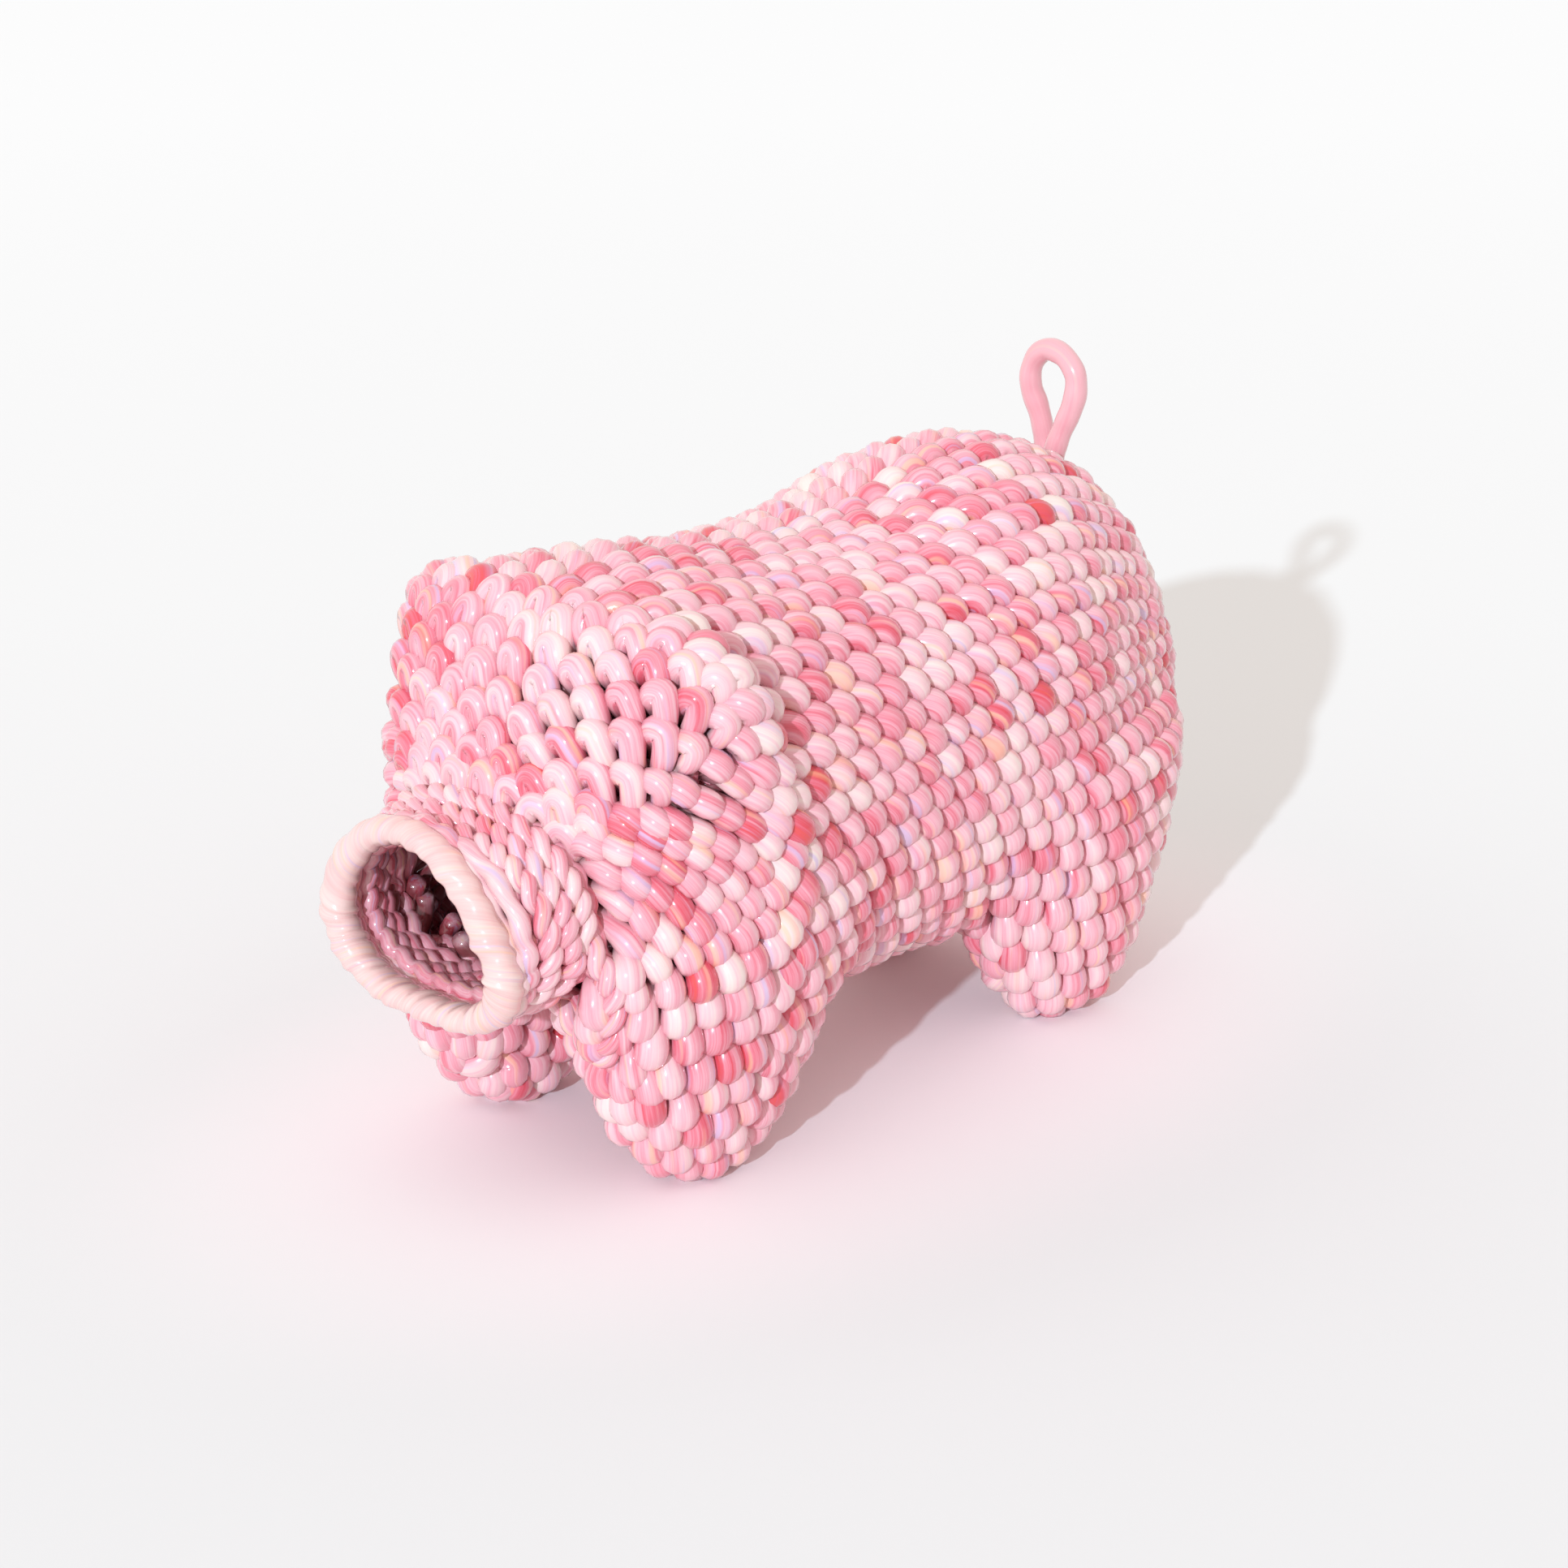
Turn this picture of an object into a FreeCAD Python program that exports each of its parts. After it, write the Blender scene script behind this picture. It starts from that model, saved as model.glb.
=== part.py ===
# Hollow glazed pig figurine built up from rows of looped ceramic strand.
# Frame: snout towards -Y, tail towards +Y, the pig's left flank towards +X, +Z up.
# The body is a tube of closed coil rows. Each row is two strand rings whose loops
# are staggered by half a pitch, so a row carries two lines of scale-like lobes.
import FreeCAD, Part
import math
import os

# ---------------------------------------------------------------- dimensions
SCALE = 0.257            # mm per table unit; makes the figurine about 260 mm long
WALL = 26.0 * SCALE      # thickness of the looped wall, mm
STRAND_D = 25.0 * SCALE  # diameter of the tail's strand, mm
RIM_D = 32.0 * SCALE     # depth of the rolled snout rim, front to back, mm
LOBE_H = 5.0 * SCALE     # how far a loop stands proud of the gap beside it, mm
VALLEY = 7.0 * SCALE     # depth of the groove between two rows, mm
LOOPS = 24               # loops in one strand ring
FILM = 0.006             # share of a ring kept clear between neighbouring rows
FOOT_SINK = 4.0          # how far the foot tips are ground flat, table units
N_ROWS = 35              # coil rows from the snout to the rump

# Body stations, in table units:
# s along the body, centre height, lean of the ring's upper half (deg),
# half width, height above centre, depth below centre, roundness, lean of lower half
ST = [
    [-482.0, 270.0, 2.0, 119.0, 102.0, 76.0, 2.2, 2.0],
    [-440.0, 282.6, 6.0, 137.7, 94.0, 99.5, 2.2, 3.0],
    [-400.0, 288.6, 12.0, 144.1, 106.0, 106.0, 2.2, 4.0],
    [-365.0, 300.0, 16.0, 176.7, 138.9, 127.0, 2.4, 4.0],
    [-330.0, 312.0, 18.0, 201.3, 178.8, 152.0, 2.8, 4.0],
    [-290.0, 325.0, 18.0, 212.3, 218.0, 186.0, 3.0, 4.0],
    [-240.0, 335.0, 17.0, 218.0, 240.6, 222.0, 2.8, 5.0],
    [-180.0, 340.0, 14.0, 219.2, 239.9, 244.2, 2.4, 6.0],
    [-100.0, 345.0, 11.0, 217.2, 220.9, 247.4, 2.2, 7.0],
    [0.0, 345.0, 8.0, 217.2, 209.5, 243.2, 2.2, 7.0],
    [100.0, 345.0, 8.0, 219.5, 215.4, 252.7, 2.2, 8.0],
    [200.0, 345.0, 9.0, 213.9, 244.8, 249.0, 2.2, 9.0],
    [290.0, 345.0, 10.0, 190.1, 255.3, 224.2, 2.2, 10.0],
    [370.0, 342.0, 10.0, 159.8, 241.0, 194.4, 2.2, 10.0],
    [430.0, 338.0, 10.0, 138.2, 209.2, 161.3, 2.2, 10.0],
    [470.0, 334.0, 10.0, 108.3, 154.3, 119.9, 2.1, 10.0],
    [492.0, 332.0, 10.0, 59.9, 81.4, 63.4, 2.0, 10.0],
    [500.0, 331.0, 10.0, 14.1, 18.3, 13.9, 2.0, 10.0],
]
# Legs: rounded cones standing on the floor at (+-x, y)
LEG_X, LEG_YF, LEG_YH = 126.0, -262.0, 268.0
LEG_SX, LEG_SY, LEG_TX, LEG_H = 87.0, 120.0, 80.0, 100.0
LEG_TYF, LEG_TYH = 172.0, 160.0
# Ears: the head's upper corners
EAR_OUT = (-228.0, 46.0, 30.0, 60.0, 22.0, 16.0, 14.0)
EAR_IN = (-238.0, 46.0, 16.0, 70.0, 45.0, 20.0, 4.0)


# ---------------------------------------------------------------- helpers
def pchip(xs, ys):
    n = len(xs)
    h = [xs[i + 1] - xs[i] for i in range(n - 1)]
    d = [(ys[i + 1] - ys[i]) / h[i] for i in range(n - 1)]
    m = [0.0] * n
    for i in range(1, n - 1):
        if d[i - 1] * d[i] > 0:
            w1 = 2 * h[i] + h[i - 1]
            w2 = h[i] + 2 * h[i - 1]
            m[i] = (w1 + w2) / (w1 / d[i - 1] + w2 / d[i])
    m[0] = d[0]
    m[-1] = d[-1]

    def f(x):
        if x <= xs[0]:
            return ys[0] + m[0] * (x - xs[0])
        if x >= xs[-1]:
            return ys[-1] + m[-1] * (x - xs[-1])
        lo, hi = 0, n - 1
        while hi - lo > 1:
            mid = (lo + hi) // 2
            if xs[mid] <= x:
                lo = mid
            else:
                hi = mid
        t = (x - xs[lo]) / h[lo]
        a = (1 + 2 * t) * (1 - t) ** 2
        b = t * (1 - t) ** 2
        c = t * t * (3 - 2 * t)
        e = t * t * (t - 1)
        return a * ys[lo] + b * h[lo] * m[lo] + c * ys[lo + 1] + e * h[lo] * m[lo + 1]
    return f


def smooth(x):
    x = min(max(x, 0.0), 1.0)
    return x * x * (3 - 2 * x)


SS = [r[0] for r in ST]
F_ZC, F_T1, F_A, F_BT, F_BB, F_P, F_T2 = [pchip(SS, [r[k] for r in ST]) for k in range(1, 8)]


def leg_radius(s, sn, k, st, ct, zz):
    """Outermost point of a leg along a ray from the ring's centre, or 0."""
    best = 0.0
    sg = 1.0 if sn >= 0 else -1.0
    for yl, ty in ((LEG_YF, LEG_TYF), (LEG_YH, LEG_TYH)):
        def g(r):
            dx = r * sn - sg * LEG_X
            dy = s - st * r * k - yl
            z = zz + ct * r * k
            q = dx * dx / LEG_SX ** 2 + dy * dy / LEG_SY ** 2
            q2 = dx * dx / LEG_TX ** 2 + dy * dy / ty ** 2
            return z + FOOT_SINK - LEG_H * (q + q2 ** 3)
        if abs(s - yl) > 330:
            continue
        inside = 0.0
        r = 60.0
        while r <= 460.0:
            if g(r) > 0:
                inside = r
            r += 10.0
        if inside > 0:
            lo, hi = inside, inside + 10.0
            for _ in range(12):
                mid = (lo + hi) / 2
                if g(mid) > 0:
                    lo = mid
                else:
                    hi = mid
            best = max(best, lo)
    return best


def surf(s, th, ear):
    """Point of the body's envelope at station s and angle th (0 = top)."""
    a = F_A(s)
    zz = F_ZC(s)
    p = F_P(s)
    sn, k = math.sin(th), math.cos(th)
    w = smooth((k + 0.35) / 0.8)
    t = math.radians(F_T2(s) * (1 - w) + F_T1(s) * w)
    b = F_BT(s) if k > 0 else F_BB(s)
    rho = (abs(sn / a) ** p + abs(k / b) ** p) ** (-1.0 / p)
    es, eth, amp, w1, w2, wt, amp2 = ear
    d = s - es
    e = math.exp(-(d / (w1 if d < 0 else w2)) ** 2)
    ta = abs(math.degrees(math.atan2(sn, k)))
    rho += e * (amp * math.exp(-((ta - eth) / wt) ** 2)
                + amp2 * smooth((ta - eth + 10) / 25) * smooth((125 - ta) / 40))
    r = rho
    st, ct = math.sin(t), math.cos(t)
    if k < 0.15:
        lr = leg_radius(s, sn, k, st, ct, zz)
        if lr > 0:
            wl = smooth((-k - 0.02) / 0.33)
            un = (rho ** 9 + lr ** 9) ** (1.0 / 9)
            r = rho + wl * (un - rho)
    return (r * sn, s - st * r * k, zz + ct * r * k)


def sub(a, b):
    return (a[0] - b[0], a[1] - b[1], a[2] - b[2])


def cross(a, b):
    return (a[1] * b[2] - a[2] * b[1], a[2] * b[0] - a[0] * b[2], a[0] * b[1] - a[1] * b[0])


def unit(a):
    n = math.sqrt(a[0] ** 2 + a[1] ** 2 + a[2] ** 2)
    return (a[0] / n, a[1] / n, a[2] / n)


def offset(s, th, depth, ear):
    """Envelope point moved inwards along its normal by depth (table units)."""
    p = surf(s, th, ear)
    if depth == 0:
        return p
    ds = 1.5 if s < 497 else -1.5
    a = sub(surf(s + ds, th, ear), p)
    if ds < 0:
        a = (-a[0], -a[1], -a[2])
    b = sub(surf(s, th + 0.02, ear), surf(s, th - 0.02, ear))
    n = unit(cross(b, a))
    c = (0.0, s, F_ZC(s))
    if n[0] * (p[0] - c[0]) + n[1] * (p[1] - c[1]) + n[2] * (p[2] - c[2]) < 0:
        n = (-n[0], -n[1], -n[2])
    return (p[0] - n[0] * depth, p[1] - n[1] * depth, p[2] - n[2] * depth)


# ---------------------------------------------------------------- ring stations
# Number of strand rings counted from the rim, against s. Down to the flank's widest
# line it depends on s alone; below it the rings spread with the length of the
# surface, so they fan out over the legs.
ANCHORS = (-471.0, -60.0, 60.0, 500.0)
GRID_S = [-471.0] + [-470.0 + 2.0 * i for i in range(486)]
GRID_TH = [90.0 + 5.0 * i for i in range(19)]
REF = [(-471.0, 0.0), (-400.0, 5.5), (-240.0, 18.5), (-180.0, 22.7), (300.0, 52.7)]


def arc_steps(deg):
    pts = [surf(s, math.radians(deg), EAR_IN) for s in GRID_S]
    return [math.sqrt(sum((q[j] - p[j]) ** 2 for j in range(3))) for p, q in zip(pts, pts[1:])]


def lerp(x, xs, ys):
    if x <= xs[0]:
        return ys[0]
    if x >= xs[-1]:
        return ys[-1]
    lo, hi = 0, len(xs) - 1
    while hi - lo > 1:
        mid = (lo + hi) // 2
        if xs[mid] <= x:
            lo = mid
        else:
            hi = mid
    return ys[lo] + (ys[hi] - ys[lo]) * (x - xs[lo]) / (xs[hi] - xs[lo])


A90 = arc_steps(90.0)
I300 = GRID_S.index(300.0)
REST = sum(A90[I300:])
REF_N = [lerp(s, [r[0] for r in REF], [r[1] for r in REF]) for s in GRID_S[:I300 + 1]]
for _a in A90[I300:]:
    REF_N.append(REF_N[-1] + _a / REST * (2 * N_ROWS + 2 - REF[-1][1]))


def ring_counts(deg):
    if deg <= 90.0:
        return REF_N
    b = smooth((deg - 90.0) / 40.0)
    ratio = [min(max(a / max(a9, 1e-6), 0.7), 2.6) for a, a9 in zip(arc_steps(deg), A90)]
    m = len(ratio)
    n = [0.0]
    for i in range(m):
        win = [ratio[min(max(i + d, 0), m - 1)] for d in range(-3, 4)]
        n.append(n[-1] + (REF_N[i + 1] - REF_N[i]) * (1 + b * (sum(win) / 7.0 - 1)))
    out = list(n)
    idx = [GRID_S.index(x) for x in ANCHORS]
    for i0, i1 in zip(idx, idx[1:]):
        f = (REF_N[i1] - REF_N[i0]) / (n[i1] - n[i0])
        for i in range(i0, i1 + 1):
            out[i] = REF_N[i0] + (n[i] - n[i0]) * f
    return out


COUNTS = [ring_counts(d) for d in GRID_TH]


def s_of(n, deg):
    """Station of ring count n at an angle in degrees from the top."""
    d = abs((deg + 180.0) % 360.0 - 180.0)
    if d <= 90.0:
        return lerp(n, REF_N, GRID_S)
    i = min(int((d - 90.0) / 5.0), len(GRID_TH) - 2)
    f = (d - GRID_TH[i]) / 5.0
    return lerp(n, COUNTS[i], GRID_S) * (1 - f) + lerp(n, COUNTS[i + 1], GRID_S) * f


# angles of the columns: one per half loop down the flanks, closer on the legs
HALF = 180.0 / LOOPS
POS = [HALF * i for i in range(21)] + [155.0, 157.5, 160.0, 162.5, 165.0, 167.5, 170.0, 172.5, 175.0, 180.0]
COLS = [-a for a in POS[::-1][1:-1]] + POS
PAR = [int(round(abs(a) / HALF)) % 2 if abs(a) <= 150.1 else None for a in COLS]


def to_mm(p):
    return FreeCAD.Vector(p[0] * SCALE, p[1] * SCALE, p[2] * SCALE)


def solid_from(points, facets):
    sh = Part.Shape()
    sh.makeShapeFromMesh(([to_mm(p) for p in points], facets), 0.0005, True)
    so = Part.Solid(sh.Shells[0]) if sh.Shells else Part.Solid(Part.Shell(sh.Faces))
    if so.Volume < 0:
        so.reverse()
    return so


def grid_solid(rows, closed_section=True):
    """rows[j] = section points of column j; the columns close into a ring."""
    nc, ns = len(rows), len(rows[0])
    pts = [p for r in rows for p in r]
    fac = []
    for j in range(nc):
        j2 = (j + 1) % nc
        for i in range(ns):
            i2 = (i + 1) % ns
            a, b = j * ns + i, j * ns + i2
            c, d = j2 * ns + i2, j2 * ns + i
            fac.append((a, b, c))
            fac.append((a, c, d))
    return pts, fac


def floor_clip(p):
    return (p[0], p[1], max(p[2], 0.0))


def near_tail(s, deg):
    return abs(deg) < 12 and 405 < s < 462


def coil_row(k):
    """One coil row: rings 2k and 2k+1, staggered by half a loop."""
    n0 = 2.0 * k
    v, h = VALLEY / SCALE, LOBE_H / SCALE
    rows = []
    for deg, par in zip(COLS, PAR):
        th = math.radians(deg)
        s0, sa, sb, s3 = [s_of(n0 + q, deg) for q in (FILM, 0.5, 1.5, 2 - FILM)]
        if par is None:
            ha = hb = 1.0
            va = vb = 2.0
        else:
            ha, hb = (0.0, h) if par == 0 else (h, 0.0)
            va = vb = v
        if near_tail(s0, deg):
            ha = va = 0.0
        if near_tail(s3, deg):
            hb = vb = 0.0
        rows.append([
            floor_clip(offset(s0, th, va, EAR_OUT)),
            floor_clip(offset(sa, th, ha, EAR_OUT)),
            floor_clip(offset(sb, th, hb, EAR_OUT)),
            floor_clip(offset(s3, th, vb, EAR_OUT)),
            offset(s3, th, WALL / SCALE, EAR_IN),
            offset(s0, th, WALL / SCALE, EAR_IN),
        ])
    return solid_from(*grid_solid(rows))


def rump_cap(k):
    """Closing coil at the rump: a small domed disc inside the last row."""
    pc = (0.0, 500.0, F_ZC(500.0))
    nc = len(COLS)
    s0 = [s_of(2.0 * k + FILM, d) for d in COLS]
    s1 = [s_of(2.0 * k + 1.1, d) for d in COLS]
    cols = [math.radians(d) for d in COLS]
    o = [offset(s, t, VALLEY / SCALE, EAR_OUT) for s, t in zip(s0, cols)]
    m = [offset(s, t, 0.0, EAR_OUT) for s, t in zip(s1, cols)]
    i = [offset(s, t, WALL / SCALE, EAR_IN) for s, t in zip(s0, cols)]
    ymin = sum(p[1] for p in i) / nc
    pts = o + m + i + [(pc[0], 501.5, pc[2]), (pc[0], ymin, pc[2])]
    a, b = 3 * nc, 3 * nc + 1
    fac = []
    for j in range(nc):
        q = (j + 1) % nc
        fac += [(j, nc + j, nc + q), (j, nc + q, q)]
        fac += [(nc + j, a, nc + q)]
        fac += [(2 * nc + j, j, q), (2 * nc + j, q, 2 * nc + q)]
        fac += [(b, 2 * nc + j, 2 * nc + q)]
    return solid_from(pts, fac)


# centre line of the rim: x, z in table units, clockwise from the top; flat below,
# narrower above, a little lopsided
RIM = [(-2, 367), (33, 357), (65, 331), (92, 297), (108, 269), (111, 247), (101, 226), (72, 209), (36, 203),
       (0, 203), (-31, 204), (-62, 211), (-90, 228), (-106, 248), (-112, 273), (-101, 309), (-70, 345), (-36, 363)]


def rim_point(u):
    """Centre line and its outward normal at u in turns, through the points of RIM."""
    m = len(RIM)
    x = (u % 1.0) * m
    i = int(x)
    t = x - i
    p = [RIM[(i + q) % m] for q in (-1, 0, 1, 2)]
    c, d = [], []
    for j in range(2):
        p0, p1, p2, p3 = [float(q[j]) for q in p]
        c.append(0.5 * (2 * p1 + (p2 - p0) * t + (2 * p0 - 5 * p1 + 4 * p2 - p3) * t * t
                        + (-p0 + 3 * p1 - 3 * p2 + p3) * t ** 3))
        d.append(0.5 * ((p2 - p0) + 2 * (2 * p0 - 5 * p1 + 4 * p2 - p3) * t
                        + 3 * (-p0 + 3 * p1 - 3 * p2 + p3) * t * t))
    ln = math.sqrt(d[0] ** 2 + d[1] ** 2)
    return c, (-d[1] / ln, d[0] / ln)


def snout_rim():
    """Thick twisted rope rolled around the snout's open mouth, thicker at its sides."""
    cy, front = -490.0, RIM_D / SCALE / 2 + 1.0
    nc, ns = 72, 10
    rows = []
    for j in range(nc):
        c, n = rim_point(j / nc)
        rr = 13.5 + 5.5 * n[0] ** 2
        # the back follows the leaning front edge of the first row
        back = 17.8 - 0.044 * (c[1] - 279.0)
        sec = []
        for i in range(ns):
            f = 2 * math.pi * i / ns
            w = 1 - 0.05 * (1 + math.cos(2 * f - 24 * math.pi * j / nc))
            sn = math.sin(f)
            y = cy - sn * (front if sn > 0 else back * w)
            sec.append((c[0] + n[0] * rr * w * math.cos(f), y, c[1] + n[1] * rr * w * math.cos(f)))
        rows.append(sec)
    top = max(math.sin(2 * math.pi * i / ns) for i in range(ns))
    rows = [[(p[0], cy + (p[1] - cy) / top if p[1] < cy else p[1], p[2]) for p in sec] for sec in rows]
    return solid_from(*grid_solid(rows))


# centre line of the tail's loop: x, y, z in table units
TAIL = [(-10, 403, 546), (-12, 403, 560), (-16, 402, 582), (-21, 400, 600), (-26, 397, 615), (-27, 395, 630),
        (-22, 395, 647), (-12, 395, 658), (0, 395, 662), (14, 395, 659), (27, 395, 649), (34, 395, 637),
        (35, 394, 622), (32, 392, 606), (25, 390, 588), (18, 388, 570), (12, 387, 548)]


def height_on_body(x, y):
    """z of the envelope above (x, y) near the tail's root."""
    s, th = 430.0, 0.0
    for _ in range(25):
        p = surf(s, th, EAR_OUT)
        a = surf(s + 0.5, th, EAR_OUT)
        b = surf(s, th + 0.005, EAR_OUT)
        j11, j12 = (a[0] - p[0]) / 0.5, (b[0] - p[0]) / 0.005
        j21, j22 = (a[1] - p[1]) / 0.5, (b[1] - p[1]) / 0.005
        det = j11 * j22 - j12 * j21
        ex, ey = x - p[0], y - p[1]
        s += (ex * j22 - ey * j12) / det
        th += (ey * j11 - ex * j21) / det
    return surf(s, th, EAR_OUT)[2]


def tail_loop():
    """The tail: one strand bent into an upright loop, both ends on the rump."""
    r = STRAND_D / SCALE / 2
    ns = 12
    ts = [0.0]
    for i in range(1, len(TAIL)):
        ts.append(ts[-1] + math.sqrt(sum((TAIL[i][j] - TAIL[i - 1][j]) ** 2 for j in range(3))))
    fx, fy, fz = [pchip(ts, [float(p[j]) for p in TAIL]) for j in range(3)]
    nseg = 40
    cen = [(fx(ts[-1] * i / nseg), fy(ts[-1] * i / nseg), fz(ts[-1] * i / nseg)) for i in range(nseg + 1)]
    rows = []
    up = (0.0, 1.0, 0.0)
    for i in range(nseg + 1):
        a, b = cen[max(i - 1, 0)], cen[min(i + 1, nseg)]
        t = unit(sub(b, a))
        e1 = unit(cross(up, t))
        e2 = cross(t, e1)
        rows.append([tuple(cen[i][q] + r * (math.cos(2 * math.pi * j / ns) * e1[q]
                                            + math.sin(2 * math.pi * j / ns) * e2[q]) for q in range(3))
                     for j in range(ns)])
    for e in (0, nseg):
        rows[e] = [(p[0], p[1], height_on_body(p[0], p[1]) + 0.3) for p in
                   [(cen[e][0] + (q[0] - cen[e][0]), cen[e][1] + (q[1] - cen[e][1]), q[2]) for q in rows[e]]]
    rows = [rw for n, rw in enumerate(rows)
            if n in (0, nseg) or min(p[2] for p in rw) > max(q[2] for q in rows[0 if n < nseg / 2 else nseg]) - 3]
    pts = [p for rw in rows for p in rw]
    fac = []
    for i in range(len(rows) - 1):
        for j in range(ns):
            j2 = (j + 1) % ns
            a, b, c, d = i * ns + j, i * ns + j2, (i + 1) * ns + j2, (i + 1) * ns + j
            fac += [(a, b, c), (a, c, d)]
    for base, sgn in ((0, 1), ((len(rows) - 1) * ns, -1)):
        cpt = tuple(sum(pts[base + j][q] for j in range(ns)) / ns for q in range(3))
        pts.append(cpt)
        ci = len(pts) - 1
        for j in range(ns):
            j2 = (j + 1) % ns
            fac.append((ci, base + j2, base + j) if sgn > 0 else (ci, base + j, base + j2))
    return solid_from(pts, fac)


# ---------------------------------------------------------------- build
NODES = [("snout_rim", snout_rim())]
for k in range(N_ROWS):
    NODES.append(("coil_row_%02d" % (k + 1), coil_row(k)))
NODES.append(("rump_cap", rump_cap(N_ROWS)))
NODES.append(("tail_loop", tail_loop()))

# origin under the middle of the whole figurine, feet on the floor
box = NODES[0][1].BoundBox
for _, so in NODES[1:]:
    box.add(so.BoundBox)
shift = FreeCAD.Vector(-(box.XMin + box.XMax) / 2, -(box.YMin + box.YMax) / 2, -box.ZMin)

os.makedirs("parts", exist_ok=True)
for name, so in NODES:
    so.translate(shift)
    so.exportStep("parts/" + name + ".step")
    print(name, "valid", so.isValid(), "vol", round(so.Volume, 1), "faces", len(so.Faces),
          "z", round(so.BoundBox.ZMin, 2), round(so.BoundBox.ZMax, 2),
          "y", round(so.BoundBox.YMin, 2), round(so.BoundBox.YMax, 2))
print("shift", shift, "box", box)
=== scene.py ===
import bpy
import math
import numpy as np
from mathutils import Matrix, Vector
from mathutils.bvhtree import BVHTree


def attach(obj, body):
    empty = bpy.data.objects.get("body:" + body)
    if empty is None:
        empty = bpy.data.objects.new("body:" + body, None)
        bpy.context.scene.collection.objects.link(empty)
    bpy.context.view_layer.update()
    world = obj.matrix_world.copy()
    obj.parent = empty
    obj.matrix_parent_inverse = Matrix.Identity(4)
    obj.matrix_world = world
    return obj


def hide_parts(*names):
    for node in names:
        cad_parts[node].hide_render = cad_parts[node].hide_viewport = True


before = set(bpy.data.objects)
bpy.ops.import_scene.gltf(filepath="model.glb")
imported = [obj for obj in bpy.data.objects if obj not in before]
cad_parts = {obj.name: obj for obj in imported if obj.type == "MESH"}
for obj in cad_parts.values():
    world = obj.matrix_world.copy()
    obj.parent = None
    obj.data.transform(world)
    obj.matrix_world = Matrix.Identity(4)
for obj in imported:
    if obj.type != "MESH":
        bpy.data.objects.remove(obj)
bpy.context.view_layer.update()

# ------------------------------------------------------------------ units
# The figurine is laid out in units u of 0.257 mm, x across, y from snout to tail,
# z up, on the floor. TO_M turns them into the row frame's metres.
U = 0.257e-3
SHIFT_Y = 0.00054819


def to_m(p):
    q = np.array(p, float) * U
    q[..., 1] += SHIFT_Y
    return q


# ------------------------------------------------------------------ body surface
ST = np.array([
    [-482.0, 270.0, 2.0, 119.0, 102.0, 76.0, 2.2, 2.0],
    [-440.0, 282.6, 6.0, 137.7, 94.0, 99.5, 2.2, 3.0],
    [-400.0, 288.6, 12.0, 144.1, 106.0, 106.0, 2.2, 4.0],
    [-365.0, 300.0, 16.0, 176.7, 138.9, 127.0, 2.4, 4.0],
    [-330.0, 312.0, 18.0, 201.3, 178.8, 152.0, 2.8, 4.0],
    [-290.0, 325.0, 18.0, 212.3, 218.0, 186.0, 3.0, 4.0],
    [-240.0, 335.0, 17.0, 218.0, 240.6, 222.0, 2.8, 5.0],
    [-180.0, 340.0, 14.0, 219.2, 239.9, 244.2, 2.4, 6.0],
    [-100.0, 345.0, 11.0, 217.2, 220.9, 247.4, 2.2, 7.0],
    [0.0, 345.0, 8.0, 217.2, 209.5, 243.2, 2.2, 7.0],
    [100.0, 345.0, 8.0, 219.5, 215.4, 252.7, 2.2, 8.0],
    [200.0, 345.0, 9.0, 213.9, 244.8, 249.0, 2.2, 9.0],
    [290.0, 345.0, 10.0, 190.1, 255.3, 224.2, 2.2, 10.0],
    [370.0, 342.0, 10.0, 159.8, 241.0, 194.4, 2.2, 10.0],
    [430.0, 338.0, 10.0, 138.2, 209.2, 161.3, 2.2, 10.0],
    [470.0, 334.0, 10.0, 108.3, 154.3, 119.9, 2.1, 10.0],
    [492.0, 332.0, 10.0, 59.9, 81.4, 63.4, 2.0, 10.0],
    [500.0, 331.0, 10.0, 14.1, 18.3, 13.9, 2.0, 10.0],
])
LEGS = ((-262.0, 172.0), (268.0, 160.0))


def pchip(xs, ys):
    xs = np.array(xs, float)
    ys = np.array(ys, float)
    h = np.diff(xs)
    d = np.diff(ys) / h
    m = np.zeros(len(xs))
    for i in range(1, len(xs) - 1):
        if d[i - 1] * d[i] > 0:
            w1 = 2 * h[i] + h[i - 1]
            w2 = h[i] + 2 * h[i - 1]
            m[i] = (w1 + w2) / (w1 / d[i - 1] + w2 / d[i])
    m[0], m[-1] = d[0], d[-1]

    def f(x):
        x = np.asarray(x, float)
        i = np.clip(np.searchsorted(xs, x) - 1, 0, len(xs) - 2)
        t = (x - xs[i]) / h[i]
        y = ((1 + 2 * t) * (1 - t) ** 2 * ys[i] + t * (1 - t) ** 2 * h[i] * m[i]
             + t * t * (3 - 2 * t) * ys[i + 1] + t * t * (t - 1) * h[i] * m[i + 1])
        y = np.where(x < xs[0], ys[0] + m[0] * (x - xs[0]), y)
        return np.where(x > xs[-1], ys[-1] + m[-1] * (x - xs[-1]), y)
    return f


F_ZC, F_T1, F_A, F_BT, F_BB, F_P, F_T2 = [pchip(ST[:, 0], ST[:, k]) for k in range(1, 8)]


def sst(x):
    x = np.clip(x, 0.0, 1.0)
    return x * x * (3 - 2 * x)


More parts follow.
